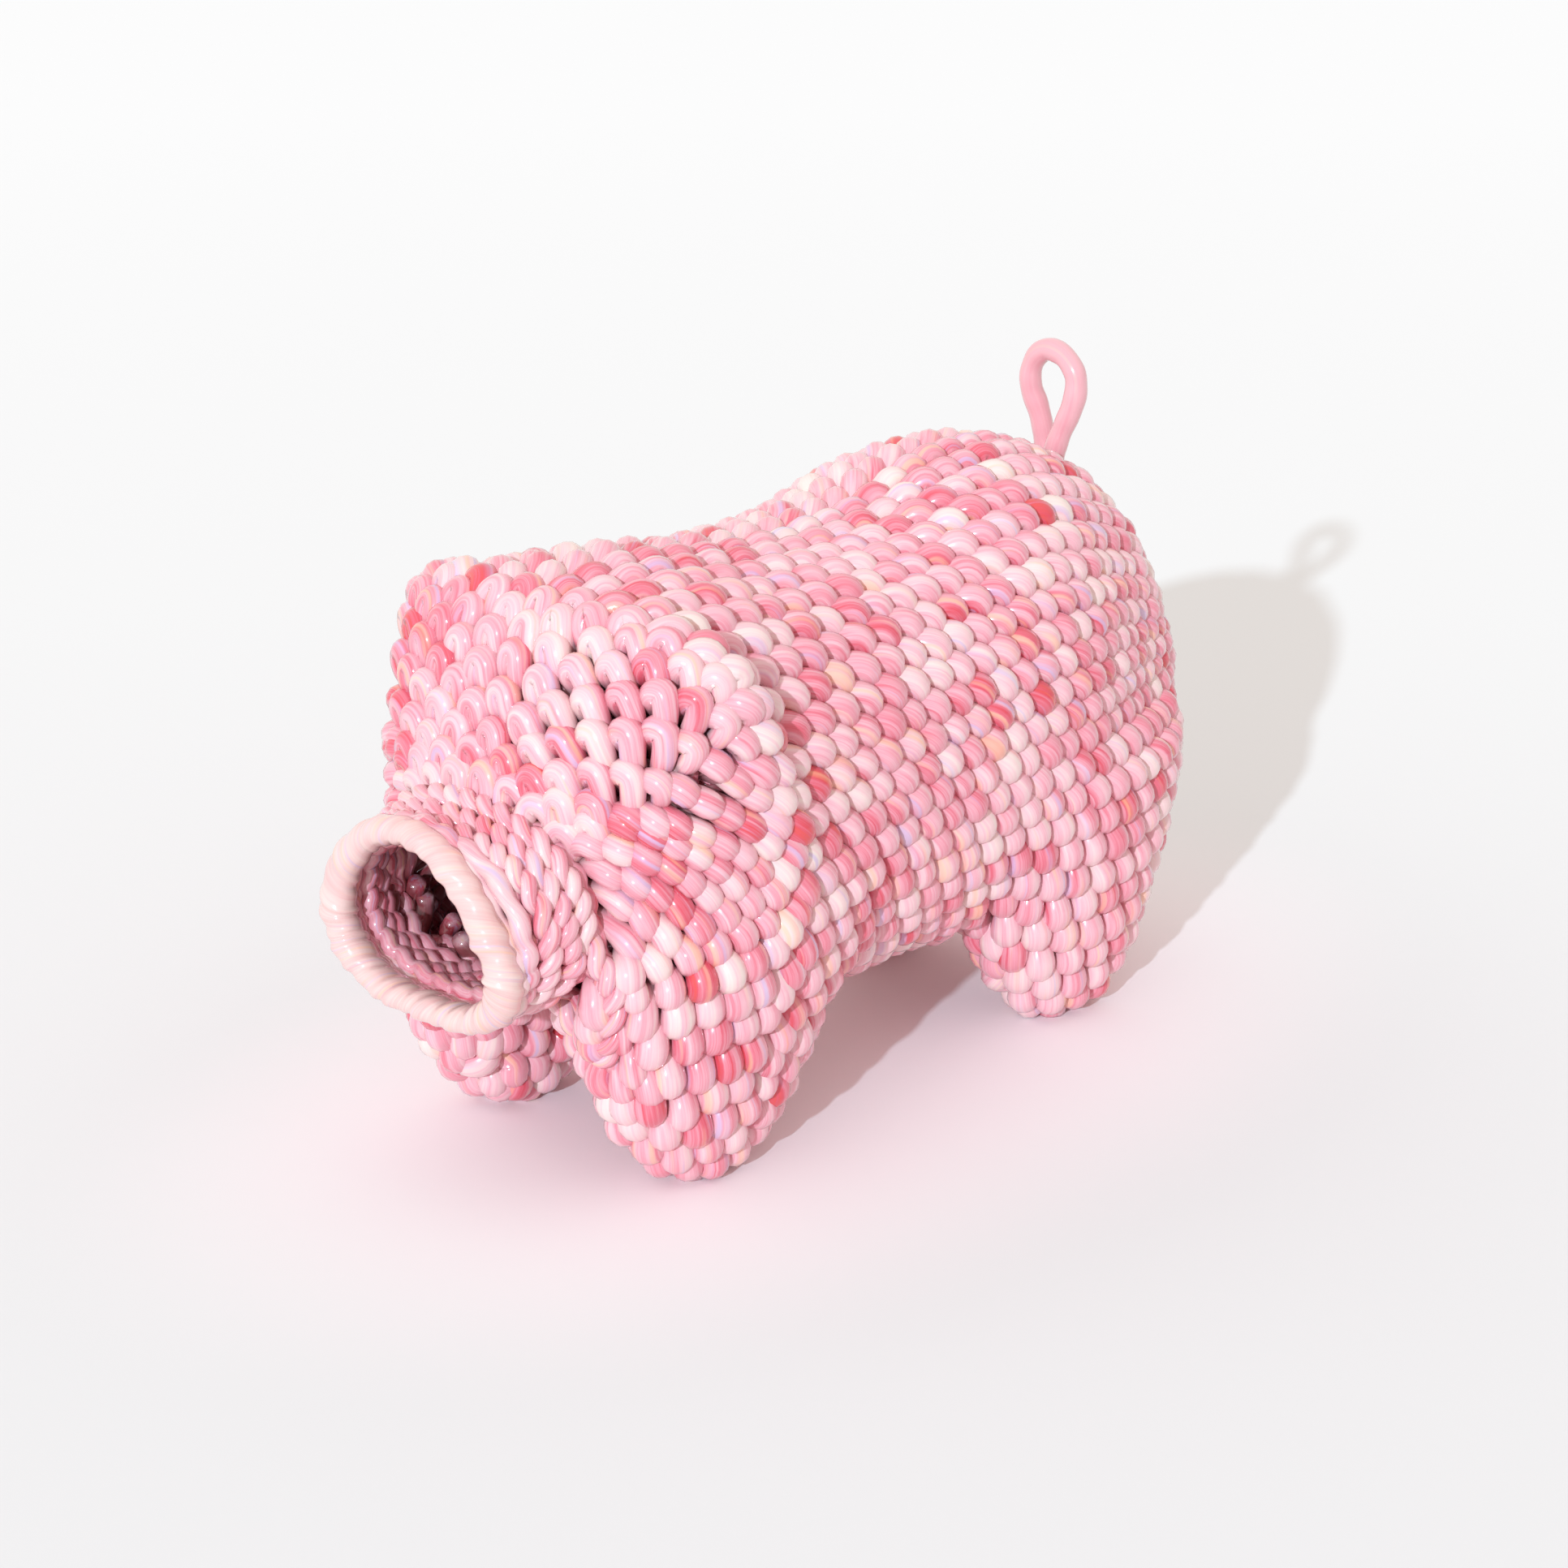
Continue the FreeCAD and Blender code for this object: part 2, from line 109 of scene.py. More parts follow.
def leg_radius(s, sn, k, st, ct, zz):
    best = np.zeros_like(s)
    sg = np.where(sn >= 0, 1.0, -1.0)
    rr = np.arange(60.0, 461.0, 10.0)
    for yl, ty in LEGS:
        def g(r):
            dx = r * sn - sg * 126.0
            dy = s - st * r * k - yl
            z = zz + ct * r * k
            q = (dx / 87.0) ** 2 + (dy / 120.0) ** 2
            q2 = (dx / 80.0) ** 2 + (dy / ty) ** 2
            return z + 4.0 - 100.0 * (q + q2 ** 3)
        ins = np.zeros_like(s)
        for r in rr:
            ins = np.where(g(r) > 0, r, ins)
        ok = (ins > 0) & (np.abs(s - yl) <= 330)
        lo, hi = ins.copy(), ins + 10.0
        for _ in range(12):
            mid = (lo + hi) / 2
            up = g(mid) > 0
            lo = np.where(up, mid, lo)
            hi = np.where(up, hi, mid)
        best = np.where(ok, np.maximum(best, lo), best)
    return best


def surf(s, th):
    """Points of the body's envelope at stations s and angles th (radians, 0 = top)."""
    s, th = np.broadcast_arrays(np.asarray(s, float), np.asarray(th, float))
    shape = s.shape
    s, th = s.ravel(), th.ravel()
    a, zz, p = F_A(s), F_ZC(s), F_P(s)
    sn, k = np.sin(th), np.cos(th)
    w = sst((k + 0.35) / 0.8)
    t = np.radians(F_T2(s) * (1 - w) + F_T1(s) * w)
    b = np.where(k > 0, F_BT(s), F_BB(s))
    rho = (np.abs(sn / a) ** p + np.abs(k / b) ** p) ** (-1.0 / p)
    d = s + 228.0
    e = np.exp(-(d / np.where(d < 0, 60.0, 22.0)) ** 2)
    ta = np.abs(np.degrees(np.arctan2(sn, k)))
    rho = rho + e * (30.0 * np.exp(-((ta - 46.0) / 16.0) ** 2)
                     + 14.0 * sst((ta - 36.0) / 25.0) * sst((125.0 - ta) / 40.0))
    st, ct = np.sin(t), np.cos(t)
    lr = np.zeros_like(rho)
    low = k < 0.15
    if low.any():
        lr[low] = leg_radius(s[low], sn[low], k[low], st[low], ct[low], zz[low])
    wl = sst((-k - 0.02) / 0.33)
    un = (rho ** 9 + np.maximum(lr, 1.0) ** 9) ** (1.0 / 9)
    r = np.where(lr > 0, rho + wl * (un - rho), rho)
    return np.stack([r * sn, s - st * r * k, zz + ct * r * k], -1).reshape(shape + (3,))


def normals(s, th, P):
    ds = np.where(s < 496.0, 1.5, -1.5)
    a = (surf(s + ds, th) - P) / ds[..., None]
    b = (surf(s, th + 0.012) - surf(s, th - 0.012)) / 0.024
    n = np.cross(b, a)
    n /= np.linalg.norm(n, axis=-1, keepdims=True) + 1e-12
    c = np.stack([0 * s, s, F_ZC(s)], -1)
    n *= np.where((n * (P - c)).sum(-1) < 0, -1.0, 1.0)[..., None]
    return n, np.linalg.norm(a, axis=-1), np.linalg.norm(b, axis=-1)


# ------------------------------------------------------------------ ring counts
N_END = 72.0
GS = np.concatenate([[-471.0], np.arange(-470.0, 501.0, 2.0)])
GT = np.arange(90.0, 181.0, 5.0)


def arc_steps(deg):
    p = surf(GS, np.full_like(GS, math.radians(deg)))
    return np.linalg.norm(np.diff(p, axis=0), axis=1)


A90 = arc_steps(90.0)
I300 = int(np.argmin(np.abs(GS - 300.0)))
REF_N = np.interp(GS, [-471.0, -400.0, -240.0, -180.0, 300.0], [0.0, 5.5, 18.5, 22.7, 52.7])
REF_N[I300:] = 52.7 + np.concatenate([[0.0], np.cumsum(A90[I300:])]) / A90[I300:].sum() * (N_END - 52.7)


def ring_counts(deg):
    if deg <= 90.0:
        return REF_N
    b = sst((deg - 90.0) / 40.0)
    ratio = np.clip(arc_steps(deg) / np.maximum(A90, 1e-6), 0.7, 2.6)
    ratio = np.convolve(np.pad(ratio, 3, mode="edge"), np.ones(7) / 7.0, mode="valid")
    n = np.concatenate([[0.0], np.cumsum(np.diff(REF_N) * (1 + b * (ratio - 1)))])
    out = n.copy()
    idx = [int(np.argmin(np.abs(GS - x))) for x in (-471.0, -60.0, 60.0, 500.0)]
    for i0, i1 in zip(idx, idx[1:]):
        f = (REF_N[i1] - REF_N[i0]) / (n[i1] - n[i0])
        out[i0:i1 + 1] = REF_N[i0] + (n[i0:i1 + 1] - n[i0]) * f
    return out


COUNTS = np.array([ring_counts(d) for d in GT])


def s_of(n, deg):
    """Station of ring count n at an angle in degrees from the top."""
    n, deg = np.broadcast_arrays(np.asarray(n, float), np.asarray(deg, float))
    d = np.abs((deg + 180.0) % 360.0 - 180.0)
    out = np.interp(n, REF_N, GS)
    i = np.clip(((d - 90.0) / 5.0).astype(int), 0, len(GT) - 2)
    f = np.clip((d - GT[i]) / 5.0, 0.0, 1.0)
    for k in range(len(GT) - 1):
        m = (i == k) & (d > 90.0)
        if m.any():
            out[m] = np.interp(n[m], COUNTS[k], GS) * (1 - f[m]) + np.interp(n[m], COUNTS[k + 1], GS) * f[m]
    return out


# ------------------------------------------------------------------ envelope tree
def envelope():
    gs = np.concatenate([np.arange(-486.0, 490.0, 4.0), np.array([490.0, 493.0, 496.0, 498.0, 499.5])])
    gt = np.radians(np.arange(-180.0, 180.0, 2.0))
    S, T = np.meshgrid(gs, gt, indexing="ij")
    P = surf(S, T)
    ns, nt = P.shape[:2]
    i = np.arange(ns - 1)[:, None]
    j = np.arange(nt)[None, :]
    j2 = (j + 1) % nt
    F = np.stack([i * nt + j, i * nt + j2, (i + 1) * nt + j2, (i + 1) * nt + j], -1).reshape(-1, 4)
    V = P.reshape(-1, 3)
    # smooth normals of the grid's points
    q = V[F]
    fn = np.cross(q[:, 2] - q[:, 0], q[:, 3] - q[:, 1])
    vn = np.zeros_like(V)
    for k in range(4):
        np.add.at(vn, F[:, k], fn)
    vn /= np.linalg.norm(vn, axis=1, keepdims=True) + 1e-12
    c = np.stack([0 * V[:, 1], S.ravel(), F_ZC(S.ravel())], -1)
    if np.median((vn * (V - c)).sum(1)) < 0:
        vn = -vn
    return V, F, vn


EV, EF, EN = envelope()
TREE = BVHTree.FromPolygons(EV.tolist(), EF.tolist())


def on_surface(p):
    """Nearest envelope point and its smooth outward normal."""
    co, _, idx, _ = TREE.find_nearest(Vector(p))
    co = np.array(co)
    q = EF[idx]
    d = np.linalg.norm(EV[q] - co, axis=1)
    w = 1.0 / (d + 0.5) ** 2
    n = (EN[q] * w[:, None]).sum(0)
    return co, n / (np.linalg.norm(n) + 1e-12)


# ------------------------------------------------------------------ loop shapes
# Key points of one loop: rearwards a, away from the top b, height h above the
# strand's level, strand radius r, all in u. Each loop comes up from under its
# neighbour, lies on top and dives again; the pattern changes over the body.
K_FLANK = np.array([(-23, -14, -22, 12.0), (-16, -9.5, -13, 13.8), (-8, -4.5, -5.5, 15.0), (0, 0.5, -1, 15.7),
                    (6, 6, 2, 16.0), (9.5, 12.5, 1, 15.4), (10, 18.5, -7, 13.8), (7.5, 21.5, -17, 12.0),
                    (2, 19, -25, 10.5)], float)
K_MID = np.array([(-18, -24, -30, 10.5), (-13, -16.5, -21, 12.0), (-7, -8.5, -12.0, 13.8), (-1, -0.5, -4.5, 15.2),
                  (4.5, 7, 1.5, 16.0), (8, 13.5, 3, 15.4), (9.5, 19.5, -4, 13.8), (7.5, 24, -15, 11.5),
                  (2, 21, -26, 10.0)], float)
K_LOW = np.array([(-14, -25, -29, 10.0), (-10, -19, -20, 11.6), (-5.5, -11.5, -12, 13.4), (-0.5, -3, -4.0, 15.2),
                  (4, 5.5, 2, 16.3), (6, 13.5, 3, 15.8), (6, 20.5, -4, 13.8), (2.5, 24, -15, 11.5),
                  (-2, 19, -26, 10.0)], float)
K_LEG = np.array([(0, -33, -31, 8.5), (0, -26, -23, 9.8), (0, -18, -15, 11.4), (0, -9, -7.5, 13.4),
                  (0, 1, 0, 15.4), (0, 10.5, 4.5, 16.6), (0, 19, 1, 15.4), (0, 25, -12, 12.5),
                  (0, 18, -26, 10.0)], float)
K_SNOUT = np.array([(-4, -28, -10, 5.5), (-3, -22, -6, 6.3), (-2, -14, -3, 7.2), (-1, -6, -1, 8.0),
                    (0, 2, 0, 8.4), (1, 10, 0, 8.2), (2, 18, -3, 7.4), (3, 24, -6, 6.4),
                    (3, 28, -10, 5.6)], float)
# face: hairpin arches, given along the row (t) and across it (l), then turned
OPEN_LT = np.array([(-26, -6.0, -38, 8.0), (-13, -9.0, -28, 9.0), (-2, -9.5, -15, 10.8), (5.5, -5.5, -4, 12.8),
                    (8.5, 1.5, 2.5, 13.8), (5.5, 8.0, 4.0, 13.4), (-4, 10.5, 3.0, 12.4), (-15, 10.5, -2, 11.8),
                    (-26, 9.0, -12, 10.6)], float)
SHUT_LT = np.array([(-24, -8.0, -19, 10.0), (-15, -9.2, -9, 11.2), (-5, -9.0, -2.0, 12.2), (4.5, -6.0, 1.5, 13.0),
                    (8.0, 0.3, 3.0, 13.4), (4.5, 6.4, 3.0, 13.2), (-5, 9.0, 1.0, 12.6), (-16, 9.2, -5, 11.8),
                    (-26, 7.5, -17, 10.5)], float)


def turned(lt, ca, sa):
    k = lt.copy()
    k[:, 0] = ca * lt[:, 0] + sa * lt[:, 1]
    k[:, 1] = -sa * lt[:, 0] + ca * lt[:, 1]
    return k


K_OPEN = turned(OPEN_LT, 0.82, 0.57)
K_SHUT = turned(SHUT_LT, 0.82, 0.57)
K_CROWN = turned(SHUT_LT, 1.0, 0.0)
LINK_H, LINK_R = -24.0, 10.0
N_ROWS = 35

PITCH = 15.0
LEVEL = 13.5     # strand's centre line under the envelope


# where the brow's loops really sit: lattice place (n, deg), then place on the head
BROW = np.array([
    (8.5, 15, 8.67, 19.5), (9.5, 22.5, 9.48, 29), (10.5, 30, 10.54, 36), (11.5, 37.5, 11.43, 42.5),
    (12.5, 45, 12.73, 47), (13.5, 52.5, 13.95, 53.5), (14.5, 60, 14.52, 62),
    (9.5, 7.5, 9.89, 12.5), (10.5, 15, 10.86, 20.5), (11.5, 22.5, 11.76, 28), (12.5, 30, 12.81, 36),
    (13.5, 37.5, 14.03, 42), (14.5, 45, 15.33, 47.5), (15.5, 52.5, 16.14, 53.5), (16.5, 60, 16.71, 60.5),
    (7.5, 22.5, 6.96, 26.5), (8.5, 30, 7.86, 35.5), (9.5, 37.5, 8.75, 44.5), (10.5, 45, 9.81, 51.5),
    (11.5, 52.5, 10.86, 56.5), (12.5, 60, 11.84, 61.5), (13.5, 67.5, 12.9, 70.0),
    (11.5, 7.5, 12.0, 12.0), (12.5, 15, 12.73, 21.5), (13.5, 22.5, 13.79, 29.5), (14.5, 30, 15.17, 35.5),
    (15.5, 37.5, 16.31, 41), (16.5, 45, 17.44, 46.5), (17.5, 52.5, 17.93, 52.5),
    (6.5, 7.5, 6.5, 9.0), (6.5, 22.5, 6.2, 25.0), (7.5, 37.5, 7.0, 42.0), (5.5, 15, 5.5, 16.5), (5.5, 30, 5.3, 33)])
CALM = np.array([(n, t, n, t) for n, t in
                 [(3.5, 7.5), (3.5, 22.5), (3.5, 37.5), (3.5, 52.5), (4.5, 60), (5.5, 75), (8.5, 75), (11.5, 82.5),
                  (14.5, 75), (17.5, 67.5), (20.5, 60), (20.5, 45), (20.5, 30), (19.5, 22.5), (17.5, 15),
                  (20.5, 15), (20.5, 0), (16.5, 0), (13.5, 0), (10.5, 0), (7.5, 0), (4.5, 0), (23.5, 52.5),
                  (23.5, 37.5), (23.5, 22.5), (23.5, 7.5)]])
NAILS = np.vstack([BROW, CALM])


def warp(n, th):
    """Shift of the lattice over the brow, following its measured loops."""
    t = np.abs(th)
    d2 = (n[:, None] - NAILS[None, :, 0]) ** 2 + ((t[:, None] - NAILS[None, :, 1]) / 7.5) ** 2
    w = np.exp(-d2 / 1.7)
    tot = np.maximum(w.sum(1), 0.30)
    dn = (w * (NAILS[:, 2] - NAILS[:, 0])).sum(1) / tot
    dt = (w * (NAILS[:, 3] - NAILS[:, 1])).sum(1) / tot
    return n + dn, th + np.sign(th) * dt


def cheek(x, i):
    """Angle of lattice place x (degrees): the head's loops are closer together on the cheek."""
    f = 0.2 * min(1.0, max(0.0, (19.0 - i) / 3.0))
    return x - f * (min(max(x, 52.5), 112.5) - 52.5)


def ring_loops(i):
    """Ring counts and angles (degrees) of the loops of strand ring i."""
    n = i + 0.5
    half = PITCH / 2 if i % 2 else 0.0
    xl = np.arange(0.0, 230.0, 0.5)
    gl = np.array([cheek(x, i) for x in xl])
    td = np.linspace(0.0, 180.0, 721)
    P = surf(s_of(np.full_like(td, n), td), np.radians(td))
    arc = np.concatenate([[0.0], np.cumsum(np.linalg.norm(np.diff(P, axis=0), axis=1))])
    per = 2 * arc[-1]
    if n > 55 and per < 24 * 44.0:
        # fewer loops toward the rump's pole, in steps so that neighbouring rings stay staggered
        cnt = [c for c in (24, 20, 16, 12, 8, 6) if per / 44.0 >= c - 2.0 or c == 6][0]
        out = [(j + 0.5 * (i % 2)) * 360.0 / cnt - 180.0 for j in range(cnt)]
        return n, np.array(sorted(out))
    pos = [half]
    while pos[-1] < 178.0:
        nxt = float(np.interp(np.interp(pos[-1], gl, xl) + PITCH, xl, gl))
        if nxt > 181.0:
            break
        a0 = np.interp(pos[-1], td, arc)
        gap = np.interp(min(nxt, 180.0), td, arc) - a0
        lim = 84.0 if pos[-1] < 100 else 78.0
        if gap > lim:
            # the strand runs out over a leg: loops follow its length instead
            nxt = float(np.interp(a0 + (66.0 if pos[-1] > 110 else 76.0), arc, td))
            if nxt >= 180.0:
                break
        pos.append(min(nxt, 180.0))
    if len(pos) > 1 and arc[-1] - np.interp(pos[-1], td, arc) < 14.0 and pos[-1] < 179.9:
        pos = pos[:-1]
    neg = [-t for t in pos if 0.01 < t < 179.9]
    return n, np.array(sorted(neg + pos))


def shapes(n, th, s, z):
    """Blended key points for loops at n, th (degrees) and s; the height z is not used."""
    t = np.abs(th)
    low = sst((t - 72.0) / 26.0)
    leg = sst((t - 98.0) / 22.0) * sst((s + 430.0) / 50.0)
    face = sst((-238.0 - s) / 26.0) * sst((64.0 - t) / 14.0) * sst((s + 408.0) / 24.0)
    back = sst((s + 262.0) / 24.0)
    snout = sst((-382.0 - s) / 32.0)
    top = sst((22.0 - t) / 20.0)
    K = np.broadcast_to(K_FLANK, (len(n),) + K_FLANK.shape).copy()
    w = sst((t - 30.0) / 30.0)[:, None, None]
    K = K * (1 - w) + K_MID * w
    w = low[:, None, None]
    K = K * (1 - w) + K_LOW * w
    w = leg[:, None, None]
    K = K * (1 - w) + K_LEG * w
    w = face[:, None, None]
    wt = top[:, None, None]
    kf = K_SHUT * (1 - wt) + K_CROWN * wt
    wo = (sst((th - 14.0) / 8.0) * sst((-256.0 - s) / 14.0) * sst((s + 375.0) / 14.0))[:, None, None]
    kf = kf * (1 - wo) + K_OPEN * wo
    K = K * (1 - w) + kf * w
    w = snout[:, None, None]
    K = K * (1 - w) + K_SNOUT * w
    # the cheek's loops are smaller
    w = (sst((-246.0 - s) / 30.0) * sst((t - 50.0) / 8.0) * sst((114.0 - t) / 12.0))[:, None, None]
    K[:, :, :2] *= 1 - 0.14 * w
    K[:, :, 2:3] = K[:, :, 2:3] * (1 - 0.08 * w)
    K[:, :, 3:4] *= 1 - 0.12 * w
    # along the back's middle line the slant fades out
    w = (sst((20.0 - t) / 20.0) * back)[:, None]
    K[:, :, 1] = K[:, :, 1] * (1 - 0.6 * w)
    K[:, :, 0] = K[:, :, 0] * (1 + 0.15 * w)
    return K, dict(leg=leg, face=face, snout=snout)


def loop_frames(n, th, s):
    """Centre point, rearward and away-from-top directions and normal of each loop."""
    P = surf(s, np.radians(th))
    sg = np.where(th < 0, -1.0, 1.0)
    d = 1.0
    P2 = surf(s_of(n, th + sg * d), np.radians(th + sg * d))
    P1 = surf(s_of(n, th - sg * d), np.radians(th - sg * d))
    et = P2 - P1
    et /= np.linalg.norm(et, axis=1, keepdims=True) + 1e-12
    N = np.array([on_surface(p)[1] for p in P])
    et -= N * (et * N).sum(1, keepdims=True)
    et /= np.linalg.norm(et, axis=1, keepdims=True) + 1e-12
    es = np.cross(N, et)
    ref = surf(np.minimum(s + 2.0, 499.9), np.radians(th)) - P
    es *= np.where((es * ref).sum(1) < 0, -1.0, 1.0)[:, None]
    # low on the legs the loops hang straight down
    dn = np.array([0.0, 0.0, -1.0]) + N * N[:, 2:3]
    ln = np.linalg.norm(dn, axis=1, keepdims=True)
    dn = dn / (ln + 1e-9)
    w = sst((190.0 - P[:, 2]) / 90.0) * sst((np.abs(th) - 100.0) / 15.0) * sst(((et * dn).sum(1) + 0.1) / 0.5)
    w = (w * sst((ln[:, 0] - 0.25) / 0.3) * 0.8)[:, None]
    et = et * (1 - w) + dn * w
    et /= np.linalg.norm(et, axis=1, keepdims=True) + 1e-12
    e2 = np.cross(N, et)
    e2 *= np.where((e2 * es).sum(1) < 0, -1.0, 1.0)[:, None]
    return P, e2, et, N


def count_of(s, th):
    """Ring count at station s and angle th (degrees)."""
    d = abs((th + 180.0) % 360.0 - 180.0)
    if d <= 90.0:
        return float(np.interp(s, GS, REF_N))
    i = min(int((d - 90.0) / 5.0), len(GT) - 2)
    f = (d - GT[i]) / 5.0
    return float(np.interp(s, GS, COUNTS[i]) * (1 - f) + np.interp(s, GS, COUNTS[i + 1]) * f)


def all_loops():
    """Every loop of every ring, thinned where they crowd; plus loops for bare spots."""
    n, th, ring = [], [], []
    for i in range(2 * N_ROWS):
        a, b = ring_loops(i)
        n += [a] * len(b)
        th += list(b)
        ring += [i] * len(b)
    n, th, ring = np.array(n), np.array(th), np.array(ring)
    n2, th2 = warp(n, th)
    s = s_of(n2, th2)
    P = surf(s, np.radians(th2))
    keep = np.ones(len(n), bool)
    order = np.argsort(-np.abs(th2))
    for j in order:
        if abs(th2[j]) < 118:
            break
        if s[j] < -425:
            continue
        d = np.linalg.norm(P - P[j], axis=1)
        d[j] = 1e9
        d[~keep] = 1e9
        if d.min() < 21.0:
            keep[j] = False
    n2, th2, s, P, ring = n2[keep], th2[keep], s[keep], P[keep], ring[keep]
    # bare spots: cliffs between the chin, the belly and the legs
    q = EV[EF]
    big = np.maximum(np.linalg.norm(q[:, 0] - q[:, 3], axis=1), np.linalg.norm(q[:, 0] - q[:, 1], axis=1))
    cand = [q.mean(1)]
    for u in (0.17, 0.5, 0.83):
        for v in (0.25, 0.75):
            m = big > 9.0
            cand.append((q[m, 0] * (1 - u) + q[m, 3] * u) * (1 - v) + (q[m, 1] * (1 - u) + q[m, 2] * u) * v)
    G = np.vstack(cand)
    z = G[:, 2]
    ear = (G[:, 1] > -262) & (G[:, 1] < -186) & (G[:, 0] < -90) & (z > 330)
    where = (z < 330) | ear
    G = G[(G[:, 1] > -450) & (G[:, 1] < 488) & where & (z > 4)]
    dist = np.full(len(G), 1e9)
    near = [P[ring >= 6]]
    for st_ in (-468.0, -449.0, -429.0, -409.0):
        near.append(snout_line(st_, 90)[0])
    for q in np.vstack(near):
        dist = np.minimum(dist, ((G - q) ** 2).sum(1))
    extra = []
    need = np.where(G[:, 1] < -368, 19.0, np.where(G[:, 2] > 330, 19.5, 25.0)) ** 2
    for _ in range(600):
        j = int(np.argmax(dist / need))
        if dist[j] < need[j]:
            break
        extra.append(G[j].copy())
        dist = np.minimum(dist, ((G - G[j]) ** 2).sum(1))
    return n2, th2, s, ring, np.array(extra)


def strand_points(n, th, s, seed):
    """Key points and radii of each loop, laid on the envelope."""
    P, es, et, N = loop_frames(n, th, s)
    K, w = shapes(n, th, s, P[:, 2])
    rng = np.random.RandomState(seed)
    K[:, :, 0:2] *= 1 + rng.normal(0, 0.03, (len(n), 1, 1))
    K[:, :, 3] *= 1 + rng.normal(0, 0.025, (len(n), 1))
    K[:, :, 2] += rng.normal(0, 0.8, (len(n), 1))
    turn = rng.normal(0, 0.05, len(n))
    keys = []
    for j in range(len(n)):
        key = K[j] if th[j] >= 0 else K[j][::-1]
        ca, sa = math.cos(turn[j]), math.sin(turn[j])
        row = []
        for a, b, h, r in key:
            q = P[j] + es[j] * (a * ca - b * sa) + et[j] * (a * sa + b * ca)
            co, nn = on_surface(q)
            row.append((co + nn * (h - LEVEL), r, h, nn))
        keys.append(row)
    return keys, w


def catmull(C, closed, sub):
    m = len(C)
    if closed:
        E = np.vstack([C[-1:], C, C[:2]])
        cnt = m
    else:
        E = np.vstack([2 * C[:1] - C[1:2], C, 2 * C[-1:] - C[-2:-1]])
        cnt = m - 1
    out = []
    for q in range(sub):
        t = q / sub
        p0, p1, p2, p3 = E[0:cnt], E[1:cnt + 1], E[2:cnt + 2], E[3:cnt + 3]
        out.append(0.5 * ((2 * p1) + (-p0 + p2) * t + (2 * p0 - 5 * p1 + 4 * p2 - p3) * t * t
                          + (-p0 + 3 * p1 - 3 * p2 + p3) * t ** 3))
    S = np.stack(out, 1).reshape(-1, C.shape[1])
    if not closed:
        S = np.vstack([S, C[-1:]])
    return S


def build_row(k):
    """One continuous strand through the loops of rings 2k and 2k+1."""
    m = (ALL_RING // 2) == k
    n, th, s, ring = ALL_N[m], ALL_TH[m], ALL_S[m], ALL_RING[m]
    o = np.argsort(th + 0.01 * (ring % 2), kind="stable")
    n, th, s, ring = n[o], th[o], s[o], ring[o]
    keys, w = strand_points(n, th, s, 100 + k)
    L = len(n)
    pts, rad, jid, dep = [], [], [], []
    for j in range(L):
        for c, r, h, nn in keys[j]:
            pts.append(c)
            rad.append(r)
            jid.append(j)
            dep.append((h,) + tuple(nn))
        a = keys[j][-1][0]
        b = keys[(j + 1) % L][0][0]
        dd = 1.0 - 0.5 * w["snout"][j]
        gap = np.linalg.norm(a - b)
        if gap > 48.0:
            # a long way to the next loop: the strand keeps to the wall's inside
            steps = int(gap / 16.0) + 1
            n1, t1 = n[(j + 1) % L], th[(j + 1) % L] + (360.0 if j == L - 1 else 0.0)
            for q in range(1, steps):
                f = q / steps
                tq = th[j] * (1 - f) + t1 * f
                tq = (tq + 180.0) % 360.0 - 180.0
                sq = s_of(np.array([n[j] * (1 - f) + n1 * f]), np.array([tq]))
                co, nn = on_surface(surf(sq, np.radians(np.array([tq])))[0])
                pts.append(co - nn * 26.0)
                rad.append(9.0)
                jid.append(j)
                dep.append((-16.0,) + tuple(nn))
            continue
        mid = (a + b) / 2
        co, nn = on_surface(mid)
        lk = co + nn * (LINK_H * dd - LEVEL * 0.6)
        f = min(1.0, np.linalg.norm(a - b) / 14.0)
        pts.append(mid * (1 - f) + lk * f)
        rad.append(LINK_R * dd)
        jid.append(j)
        dep.append((-19.0 * dd,) + tuple(nn))
    C = np.column_stack([np.array(pts), np.array(rad), np.array(dep)])
    sub = 3
    S = catmull(C, True, sub)
    jj = np.repeat(np.array(jid), sub)
    return dict(c=S[:, :3], r=np.maximum(S[:, 3], 3.0), ring=ring[jj], th=th[jj], lobe=jj, dep=S[:, 4:8])


def row_of(p):
    """Row whose loops lie nearest to a point."""
    return int(ALL_RING[int(np.argmin(((ALL_P - p) ** 2).sum(1)))] // 2)


def extra_loops(k):
    """Single loops in row k that cover the bare spots between its rings."""
    out = []
    for j, p in enumerate(EXTRA):
        if EXTRA_ROW[j] != k:
            continue
        co, N = on_surface(p)
        dn = np.array([0.0, 0.0, -1.0]) + N * N[2]
        if np.linalg.norm(dn) < 0.3:
            dn = np.array([0.0, 1.0, 0.0]) - N * N[1]
        et = dn / np.linalg.norm(dn)
        es = np.cross(N, et)
        if es[1] < 0:
            es = -es
        K = 0.35 * K_LOW + 0.65 * K_LEG
        row = []
        for a, b, h, r in K:
            c2, nn = on_surface(p + es * a * 0.9 + et * b * 0.9)
            row.append(np.concatenate([c2 + nn * (h - LEVEL), [r * 0.98, h], nn]))
        S = catmull(np.array(row), False, 3)
        out.append((S[:, :3], np.maximum(S[:, 3], 3.0), j, S[:, 4:8]))
    return out


